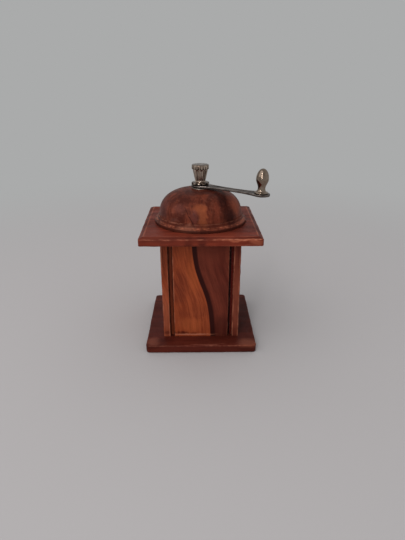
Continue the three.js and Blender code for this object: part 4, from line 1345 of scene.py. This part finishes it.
def nut_outline():
    rows = [(0, NUT_BORE_DEPTH), (NUT_BORE_RADIUS, NUT_BORE_DEPTH), (NUT_BORE_RADIUS, NUT_RECESS)]
    rows += [(SHAFT_BORE, NUT_RECESS), (SHAFT_BORE, 0), (FOOT_FLAT, 0)]
    rows += arc((LOBE_RADIUS - FOOT_ROUND, LOBE_SIDE[0]), FOOT_ROUND, -90, 0, 3)[1:]
    rows += arc((LOBE_RADIUS - LOBE_ROUND, LOBE_SIDE[1]), LOBE_ROUND, 0, 80, 5)
    rows += oval((TAPER_RADIUS, TAPER_FOOT), TAPER_RADIUS - NECK_RADIUS, NECK_RISE, 265, 190, 6)
    for share in shares(TAPER_STEPS):
        radius = NECK_RADIUS + (TAPER_RADIUS - NECK_RADIUS) * share
        rows.append((radius, TAPER_FOOT + (TAPER_TOP - TAPER_FOOT) * share))
    under = (CAP_RADIUS - UNDER_CAP_ROUND, CAP_FOOT + CAP_ARRIS)
    rows += arc(under, UNDER_CAP_ROUND, -80, 0, 3)
    side = CAP_TOP - CAP_FOOT - 0.3 * MM
    rows += [(CAP_RADIUS, CAP_FOOT + CAP_ARRIS + side * share) for share in shares(CAP_STEPS)[1:]]
    rows += arc((CAP_RADIUS - CAP_ROUND, CAP_TOP - 0.05 * MM), CAP_ROUND, 0, 72, 5)
    rows += [(radius * MM, height * MM) for radius, height in CAP_CROWN]
    return [(radius, NUT_LOW.z + height) for radius, height in rows]


def nut_cut(angle, height):
    """How deep the cutters go at this angle round the nut and height over its foot."""
    flute = 1 - abs(math.cos(angle * NUT_FLUTES / 2))
    if height < LOBE_TOP:
        return LOBE_CUT * flute ** 1.3
    if height < TAPER_TOP:
        ease = min(1, (height - LOBE_TOP) / EASE_UP, (TAPER_TOP - height) / EASE_DOWN)
        return FLUTE_CUT * max(ease, 0) * flute
    if CAP_FOOT < height < CAP_TOP:
        down = (CAP_TOP - height) / (CAP_TOP - CAP_FOOT)
        rib = (1 - abs(math.cos(angle * NUT_TEETH / 2))) ** 0.8
        return (RIB_CUT + TOOTH_CUT * min(1, max(down - 0.25, 0) / 0.5)) * rib
    return 0.0


def adjusting_nut():
    bm = spun(nut_outline(), NUT_SIDES)
    for corner in bm.verts:
        radius = math.hypot(*corner.co.xy)
        if radius < SHAFT_BORE + 0.06 * MM:
            continue
        cut = nut_cut(angle_of(corner), corner.co.z - NUT_LOW.z)
        corner.co.xy *= (radius - cut) / radius
    stand_in(bm, "adjusting_nut", "nut", NUT_NICKEL, AT_REST)


adjusting_nut()

# %% [markdown]
# The bearing plate is a nickelled disc nailed to the crown for the hub to turn on. Only its rim
# shows under the crank, with a painted black shadow over its top in the gap under the hub. The
# CAD disc would do but for its sharp rim: a rim has to be round to catch the light, so it is spun
# again with a rounded edge.

# %% Bearing plate
PLATE_EDGE = 0.24 * MM
PLATE_CHAMFER = 0.1 * MM
PLATE_SIDES = 96


def bearing_plate():
    low, high = PLATE_LOW.z, PLATE_HIGH.z
    outline = [(SHAFT_BORE, low), (PLATE_RADIUS - PLATE_CHAMFER, low)]
    outline += [(PLATE_RADIUS, low + PLATE_CHAMFER)]
    outline += arc((PLATE_RADIUS - PLATE_EDGE, high - PLATE_EDGE), PLATE_EDGE, 0, 90, 4)
    outline += [(PLATE_RADIUS - 2 * PLATE_EDGE, high), (SHAFT_BORE + PLATE_EDGE, high)]
    bm = spun(outline + [(SHAFT_BORE, high)], PLATE_SIDES, closed=True)
    stand_in(bm, "bearing_plate", "lid", PLATE_NICKEL)


bearing_plate()

# %% [markdown]
# The drive shaft shows when the lid is lifted. It is one bar: round at the foot, square where the
# cone and the crank sit on it, and cut with a thread for the nut. The bar is a single loop that is
# extruded upwards and set to a circle or square at each level. The thread is a wave in its radius
# that climbs one pitch for each turn. A ridge wound on by itself would have to be joined to the
# bar, and the wave keeps the whole shaft one closed skin.

# %% Drive shaft
FINE_WELD = WELD / 10  # the thread's rows lie close together
SHAFT_POINTS = 64
JOURNAL_RADIUS = 2.5 * MM
SQUARE_HALF = 2.5 * MM
SQUARE_CORNER = 0.35 * MM
SQUARE_TOP = HUB_HIGH.z - 0.3 * MM
THREAD_RADIUS = 2.35 * MM
THREAD_DEPTH = 0.3 * MM
THREAD_PITCH = 0.8 * MM
THREAD_ROW = 0.1 * MM
CHAMFER = 0.4 * MM


def thread_radius(angle, height):
    """The threaded end's radius, with the thread faded out below and a chamfer above."""
    phase = ((height - SQUARE_TOP) / THREAD_PITCH - angle / FULL_TURN) % 1
    fade = min(1, (height - SQUARE_TOP) / CHAMFER, (SHAFT_HIGH.z - height) / CHAMFER)
    groove = THREAD_DEPTH * (1 - abs(2 * phase - 1)) * max(fade, 0)
    return THREAD_RADIUS - groove + min(SHAFT_HIGH.z - height, CHAMFER) - CHAMFER


def drive_shaft():
    bm = bmesh.new()
    foot_radius = JOURNAL_RADIUS - CHAMFER
    start = bmesh.ops.create_circle(
        bm, cap_ends=True, radius=foot_radius, segments=SHAFT_POINTS,
    )["verts"]
    crowd_to_corners(start)
    set_circle(start, foot_radius, SHAFT_LOW.z)
    loop = bm.edges[:]
    for height in (SHAFT_LOW.z + CHAMFER, CONE_LOW.z - CHAMFER):
        corners, loop = next_loop(bm, loop)
        set_circle(corners, JOURNAL_RADIUS, height)
    square = [(CHAMFER, CONE_LOW.z - CHAMFER / 2), (0, CONE_LOW.z + CHAMFER / 2)]
    square += [(0, SQUARE_TOP - CHAMFER), (CHAMFER, SQUARE_TOP)]
    for inset, height in square:
        corners, loop = next_loop(bm, loop)
        set_square(corners, SQUARE_HALF - inset, SQUARE_CORNER, height)
    threaded = SHAFT_HIGH.z - SQUARE_TOP
    for share in shares(round(threaded / THREAD_ROW)):
        height = SQUARE_TOP + threaded * share
        corners, loop = next_loop(bm, loop)
        set_reach(corners, height, lambda angle: thread_radius(angle, height))
    bmesh.ops.holes_fill(bm, edges=loop)
    stand_in(
        bm, "drive_shaft", "grinder_shaft", FITTING_STEEL, AT_REST, FINE_WELD,
    )


drive_shaft()

# %% [markdown]
# The crank arm is stamped from strip: round at both ends, with a waist, a square hole for the
# shaft and a panel sunk between raised borders. Each outline, of the arm or of a hole, is a loop
# that is extruded up through a rounded rim. The flat between the loops is then filled, and the
# panel is a loop of its own that steps down to its floor. Holes cut by a boolean and bevelled are
# the usual way, but stamped rims differ in width, and here each loop has a width of its own.

# %% Where the arm ends
ARM_SLOPE = math.radians(2.4)
ARM_BEND = 6.0 * MM
ARM_BEND_LENGTH = 2.5 * MM
ARM_THROW = 52.3 * MM
ARM_THICKNESS = 1.6 * MM
HUB_RADIUS = 7.4 * MM
ARM_END_RADIUS = 6.9 * MM
ARM_WAIST = 3.4 * MM
ARM_TOP = HUB_HIGH.z
TO_BEND = Matrix.Translation((ARM_BEND, 0, ARM_TOP))
SLOPED = Matrix.Rotation(ARM_SLOPE, 4, "Y")
ARM_END = AT_REST @ TO_BEND @ SLOPED @ Matrix.Translation((ARM_THROW - ARM_BEND, 0, 0))
print("arm end at", [round(value, 5) for value in ARM_END.translation])

# %% Arm outline
HUB_EASE = 19 * MM
END_EASE = 17 * MM
SHOULDER = 3 * MM
HUB_SHOULDER = 6.75 * MM
END_SHOULDER = 6.2 * MM
ARM_POINTS = 96
ARM_BORDER = 1.3 * MM
PANEL_START = 8.2 * MM
PANEL_END = 44.8 * MM
PANEL_ROUND = 3.2 * MM
PANEL_STEPS = 40


def disc_half(radius, off):
    """Half the width of a disc at a distance from its middle, and nothing outside it."""
    return math.sqrt(max(radius ** 2 - off ** 2, 0))


def arm_half_width(along):
    """Half of the arm's width at this distance from the shaft."""
    hub, end = disc_half(HUB_RADIUS, along), disc_half(ARM_END_RADIUS, along - ARM_THROW)
    if not SHOULDER < along < ARM_THROW - SHOULDER:
        return max(hub, end)
    by_hub = max(0, 1 - (along - SHOULDER) / HUB_EASE) ** 2
    by_end = max(0, 1 - (ARM_THROW - along - SHOULDER) / END_EASE) ** 2
    neck = ARM_WAIST + (HUB_SHOULDER - ARM_WAIST) * by_hub + (END_SHOULDER - ARM_WAIST) * by_end
    return max(hub, end, neck)


def both_sides(one_side):
    """An outline there along one side and back along its mirror image."""
    return one_side + [(along, -half) for along, half in reversed(one_side[1:-1])]


def arm_edge():
    one_side = []
    for share in shares(ARM_POINTS):
        eased = (1 - math.cos(math.pi * share)) / 2
        along = -HUB_RADIUS + eased * (HUB_RADIUS + ARM_THROW + ARM_END_RADIUS)
        one_side.append((along, arm_half_width(along)))
    return both_sides(one_side)


def panel_edge(inset):
    """The sunk panel's outline: the arm's own sides, closed by arcs round the hub and the end."""
    first, last = PANEL_START + inset, PANEL_END - inset
    one_side = []
    for share in shares(PANEL_STEPS):
        along = first + (last - first) * share
        room = min(along - first, last - along) / PANEL_ROUND
        taken = math.sqrt(max(0, 1 - max(0, 1 - room) ** 2))
        one_side.append((along, (arm_half_width(along) - ARM_BORDER - inset) * taken))
    return both_sides(one_side)


print("arm outline points", len(arm_edge()), "panel points", len(panel_edge(0)))

# %% Walls round the arm and its holes
SUPPORT = 0.06 * MM  # a second loop on the flat, so that the rounded rim doesn't shade the flat
RIM = 0.3 * MM
HOLE_RIM = 0.12 * MM
PANEL_DEPTH = 0.4 * MM
SQUARE_HOLE = 5.6 * MM
EYE_RADIUS = 1.8 * MM
BOSS_RADIUS = 4.5 * MM
BOSS_FOOT = -0.3 * MM
PANEL_ROWS = [
    (-SUPPORT, 0), (0, 0), (0.10 * MM, -0.06 * MM), (0.35 * MM, -0.34 * MM),
    (0.45 * MM, -PANEL_DEPTH), (0.45 * MM + SUPPORT, -PANEL_DEPTH),
]


def rim_rows(low, high, depth):
    """Heights and insets up a wall, from its lower rounded rim to its upper one."""
    lower = [(0, depth + SUPPORT), (0, depth), (depth * 0.3, depth * 0.3), (depth, 0)]
    upper = [(high - up, inset) for up, inset in reversed(lower)]
    return [(low + up, inset) for up, inset in lower] + upper


def rising_loops(bm, rows, place_at):
    """A loop for each row, extruded from the last. Gives the lowest and the highest loop.

    The function place_at gives the places of all corners for one row.
    """
    order = bm.verts.layers.int["order"]
    corners = [bm.verts.new(place) for place in place_at(*rows[0])]
    for index, corner in enumerate(corners):
        corner[order] = index
    first = loop = chained(bm, corners, closed=True)
    for row in rows[1:]:
        corners, loop = next_loop(bm, loop)
        places = place_at(*row)
        for corner in corners:
            corner.co = places[corner[order]]
    return first, loop


def wall(bm, plan, rows):
    """A wall over a loop of places whose metal lies to the right."""
    plan = [Vector(place) for place in plan]
    toward = []
    for before, after in zip(plan[-1:] + plan[:-1], plan[1:] + plan[:1]):
        run = after - before
        toward.append(Vector((run.y, -run.x)).normalized())

    def at(height, inset):
        return [Vector((*(spot + way * inset), height)) for spot, way in zip(plan, toward)]

    return rising_loops(bm, rows, at)


def around(reach, count, middle=0.0):
    """Places round a hole, counter clockwise, at the reach that a function of the angle gives."""
    angles = [FULL_TURN * share for share in shares(count)[:-1]]
    return [(middle + reach(one) * math.cos(one), reach(one) * math.sin(one)) for one in angles]


def sunk_panel(bm):
    def at(inset, sink):
        return [Vector((x, y, ARM_THICKNESS + sink)) for x, y in panel_edge(inset)]

    return rising_loops(bm, PANEL_ROWS, at)


print("loops up the side of the arm", len(rim_rows(0, ARM_THICKNESS, RIM)))


# %% Crank arm
ARM_UNEVEN = 0.05 * MM
HOLE_CORNER = 0.4 * MM
SQUARE_POINTS, EYE_POINTS, BOSS_POINTS = 64, 32, 48


def flat_arm():
    bm = bmesh.new()
    bm.verts.layers.int.new("order")
    side_low, side_high = wall(bm, arm_edge(), rim_rows(0, ARM_THICKNESS, RIM))
    square = around(lambda angle: square_reach(angle, SQUARE_HOLE / 2, HOLE_CORNER), SQUARE_POINTS)
    hole_low, hole_high = wall(bm, square, rim_rows(BOSS_FOOT, ARM_THICKNESS, HOLE_RIM))
    eye = around(lambda angle: EYE_RADIUS, EYE_POINTS, ARM_THROW)
    eye_low, eye_high = wall(bm, eye, rim_rows(0, ARM_THICKNESS, HOLE_RIM))
    boss = around(lambda angle: BOSS_RADIUS, BOSS_POINTS)[::-1]
    boss_low, boss_high = wall(bm, boss, rim_rows(BOSS_FOOT, 0, HOLE_RIM)[:4] + [(0, 0)])
    brim, panel_floor = sunk_panel(bm)
    fill_flat(bm, side_low + boss_high + eye_low)
    fill_flat(bm, boss_low + hole_low)
    fill_flat(bm, side_high + hole_high + eye_high + brim)
    fill_flat(bm, panel_floor)
    return bm


def bend_arm(bm):
    turn = TO_BEND @ SLOPED @ TO_BEND.inverted()
    for corner in bm.verts:
        share = max(0.0, min(1.0, (corner.co.x - ARM_BEND) / ARM_BEND_LENGTH))
        corner.co = corner.co.lerp(turn @ corner.co, share)


def crank_arm():
    bm = flat_arm()
    bmesh.ops.translate(bm, verts=bm.verts[:], vec=(0, 0, ARM_TOP - ARM_THICKNESS))
    bend_arm(bm)
    knock_about(bm, ARM_UNEVEN, size=5 * MM, seed=2.6)
    stand_in(bm, "crank_arm", "crank", ARM_STEEL, AT_REST, FINE_WELD)


crank_arm()

# %% [markdown]
# The knob is a pear shape with a flared skirt, turned and polished. It could be spun where it
# stands, round the tilted pin, but an upright outline is easier to draw and to check. So it is
# spun upright at the origin and then carried to the arm's end, tilt included, by one matrix.

# %% Crank knob
KNOB_SIDES = 96
KNOB_BORE = [(0, 10.5), (2.4, 10.5), (2.4, 8.7), (1.8, 8.7), (1.8, 1.3), (2.6, 1.3), (2.6, 0.3)]
SKIRT_FOOT = [(4.9, 0.3)] + arc((4.95, 0.75), 0.45, -80, 60, 5)  # radius, height in mm
SKIRT_RUN, NECK, SWELL = 2.2, 2.9, 4.9
SKIRT_LEVEL, NECK_LEVEL, SWELL_LEVEL, KNOB_TOP = 1.15, 4.0, 10.9, 18.8


def knob_outline():
    """The bore's step for the rivet, then the skirt, the neck, the swell and the round end."""
    rows = KNOB_BORE + SKIRT_FOOT
    for share in shares(12)[1:]:
        inward, up = 1 - math.sin(math.pi / 2 * share), 1 - math.cos(math.pi / 2 * share)
        rows.append((NECK + SKIRT_RUN * inward, SKIRT_LEVEL + (NECK_LEVEL - SKIRT_LEVEL) * up))
    for share in shares(16)[1:]:
        swollen = (SWELL - NECK) * (1 - math.cos(share * math.pi)) / 2
        rows.append((NECK + swollen, NECK_LEVEL + (SWELL_LEVEL - NECK_LEVEL) * share))
    rows += oval((0, SWELL_LEVEL), SWELL, KNOB_TOP - SWELL_LEVEL, 5, 85, 16) + [(0, KNOB_TOP)]
    return [(radius * MM, height * MM) for radius, height in rows]


def crank_knob():
    bm = spun(knob_outline(), KNOB_SIDES)
    stand_in(bm, "crank_knob", "knob", KNOB_NICKEL, ARM_END)


crank_knob()

# %% [markdown]
# The pieces that keep their CAD shape only need a finish: their facets are small, and most of them
# are hidden in the wood or seen through the outlet. The record names a material slot for each, so
# one table from slot to finish dresses them all.

# %% Finishes on CAD nodes


def plain_wood():
    material, shader, spot = new_material("dowel_wood")
    streaks = use(FIBRE, Vector=spot, Along=0.05)["Streaks"]
    feed(shader.inputs["Base Color"], blend(streaks, (176, 138, 96), (202, 166, 122)))
    bump = {"Height": streaks, "Distance": 0.05 * MM, "Strength": 0.5}
    feed(shader.inputs["Normal"], add("ShaderNodeBump", bump))
    shader.inputs["Roughness"].default_value = 0.7
    return material


SLOT_FINISH = {
    "column_wood": COLUMN_WOOD, "board_wood": TOP_WOOD, "lid_wood": LID_WOOD,
    "dowel_wood": plain_wood(), "nickel": NICKEL, "arm_steel": ARM_STEEL,
    "fitting_steel": FITTING_STEEL, "burr_steel": BURR_STEEL,
}
for part in frame["record"]["subparts"]:
    node = frame["nodes"][part["node"]]
    node.data.materials.clear()
    node.data.materials.append(SLOT_FINISH[part["material_slot"]])

# %% [markdown]
# The stage is a wide pale floor and nothing else. Past the shadow the floor fades to one plain
# grey, which the world shows too, so that no horizon is seen. Only rays that look at the stage see
# that grey: camera rays, and the rays in a reflection. The light comes from the world's own
# brighter dome and from two lamps.

# %% Floor and backdrop
FLOOR_COLOUR, FLOOR_CLOUD = (178, 174, 174), (172, 168, 168)
FLOOR_HALF = 6.0
BACKDROP = linear((170, 171, 171))
FADE_START = 0.16
FADE_END = 0.75


def seen_rays(tree):
    """One for the rays that look at the stage, directly or in a reflection."""
    path = add("ShaderNodeLightPath", {}, None, tree=tree)
    return most(path["Is Camera Ray"], path["Is Glossy Ray"], path["Is Transmission Ray"])


def floor():
    bm = bmesh.new()
    bmesh.ops.create_grid(bm, x_segments=2, y_segments=2, size=FLOOR_HALF)
    mesh = bpy.data.meshes.new("floor")
    bm.to_mesh(mesh)
    bm.free()
    piece = in_scene("floor", mesh)
    material, shader, spot = new_material("floor")
    shade = ranged(cloud(spot, 3.0, 2.0), 0.3, 0.7)
    feed(shader.inputs["Base Color"], blend(shade * 0.15, FLOOR_COLOUR, FLOOR_CLOUD))
    shader.inputs["Roughness"].default_value = 0.9
    shader.inputs["Specular IOR Level"].default_value = 0.1
    share = ranged(length_of(spot), FADE_START, FADE_END) * seen_rays(spot.tree)
    plain = add("ShaderNodeEmission", {"Color": BACKDROP, "Strength": 1.0}, tree=spot.tree)
    mixed = add("ShaderNodeMixShader", {0: share, 1: Signal(shader.outputs[0]), 2: plain})
    feed(spot.tree.nodes["Material Output"].inputs[0], mixed)
    mesh.materials.append(material)
    print(piece.name, "is", 2 * FLOOR_HALF, "m wide")


floor()

# %% Light
WORLD_LIGHT = 0.72
WORLD_COLOUR = (0.98, 0.99, 1.0, 1)


def world_light():
    world = bpy.data.worlds.new("soft_room")
    bpy.context.scene.world = world
    world.use_nodes = True
    tree = world.node_tree
    tree.nodes.clear()
    backgrounds = {}
    for index, (colour, strength) in enumerate([(WORLD_COLOUR, WORLD_LIGHT), (BACKDROP, 1.0)]):
        inputs = {"Color": colour, "Strength": strength}
        backgrounds[index + 1] = add("ShaderNodeBackground", inputs, tree=tree)
    mixed = add("ShaderNodeMixShader", {0: seen_rays(tree)} | backgrounds)
    feed(tree.nodes.new("ShaderNodeOutputWorld").inputs[0], mixed)


def lamp(name, place_at, aim, size, power, lean=0.0):
    light = bpy.data.lights.new(name, "AREA")
    light.shape = "RECTANGLE"
    light.size, light.size_y = size
    light.energy = power
    toward = (Vector(aim) - Vector(place_at)).to_track_quat("-Z", "Y").to_matrix().to_4x4()
    turn = toward @ Matrix.Rotation(lean, 4, "Z")
    in_scene(name, light).matrix_world = Matrix.Translation(place_at) @ turn
    print("lamp", name, "power", power)


world_light()
lamp("window", (-1.15, -0.78, 1.30), aim=(0, 0, 0.08), size=(2.2, 2.2), power=11.0)
lamp(
    "tall_window", (-0.30, -0.86, 0.52), aim=(0, 0, 0.12), size=(0.045, 0.95), power=2.6,
    lean=math.radians(12),
)

# %% [markdown]
# The camera stands just left of the mill's axis, a third of a metre in front of it and 20 cm above
# the table, looking down 24 degrees. A constraint could aim it at the mill, but would lose its
# slight roll, so its directions are written out as angles. Its lens follows from a focal length
# in pixels of the 540 pixel side.

# %% Camera
CAMERA_FROM_AXIS = Vector((-2.10, -325.25, 200.60)) * MM
CAMERA_YAW = math.radians(0.666)
CAMERA_PITCH = math.radians(23.956)
CAMERA_ROLL = math.radians(-0.071)
FOCAL_PIXELS = 396.74
LONG_SIDE_PIXELS = 540
SENSOR = 36.0
NEAREST_SEEN = 0.01


def camera():
    data = bpy.data.cameras.new("camera")
    data.sensor_width = SENSOR
    data.lens = FOCAL_PIXELS * SENSOR / LONG_SIDE_PIXELS
    data.clip_start = NEAREST_SEEN
    holder = in_scene("camera", data)
    turn = (
        Matrix.Rotation(-CAMERA_YAW, 4, "Z")
        @ Matrix.Rotation(math.pi / 2 - CAMERA_PITCH, 4, "X")
        @ Matrix.Rotation(CAMERA_ROLL, 4, "Z")
    )
    holder.matrix_world = Matrix.Translation(AXIS + CAMERA_FROM_AXIS) @ turn
    bpy.context.scene.camera = holder
    print("lens", round(data.lens, 2))


camera()
bpy.context.scene.view_settings.view_transform = "Standard"
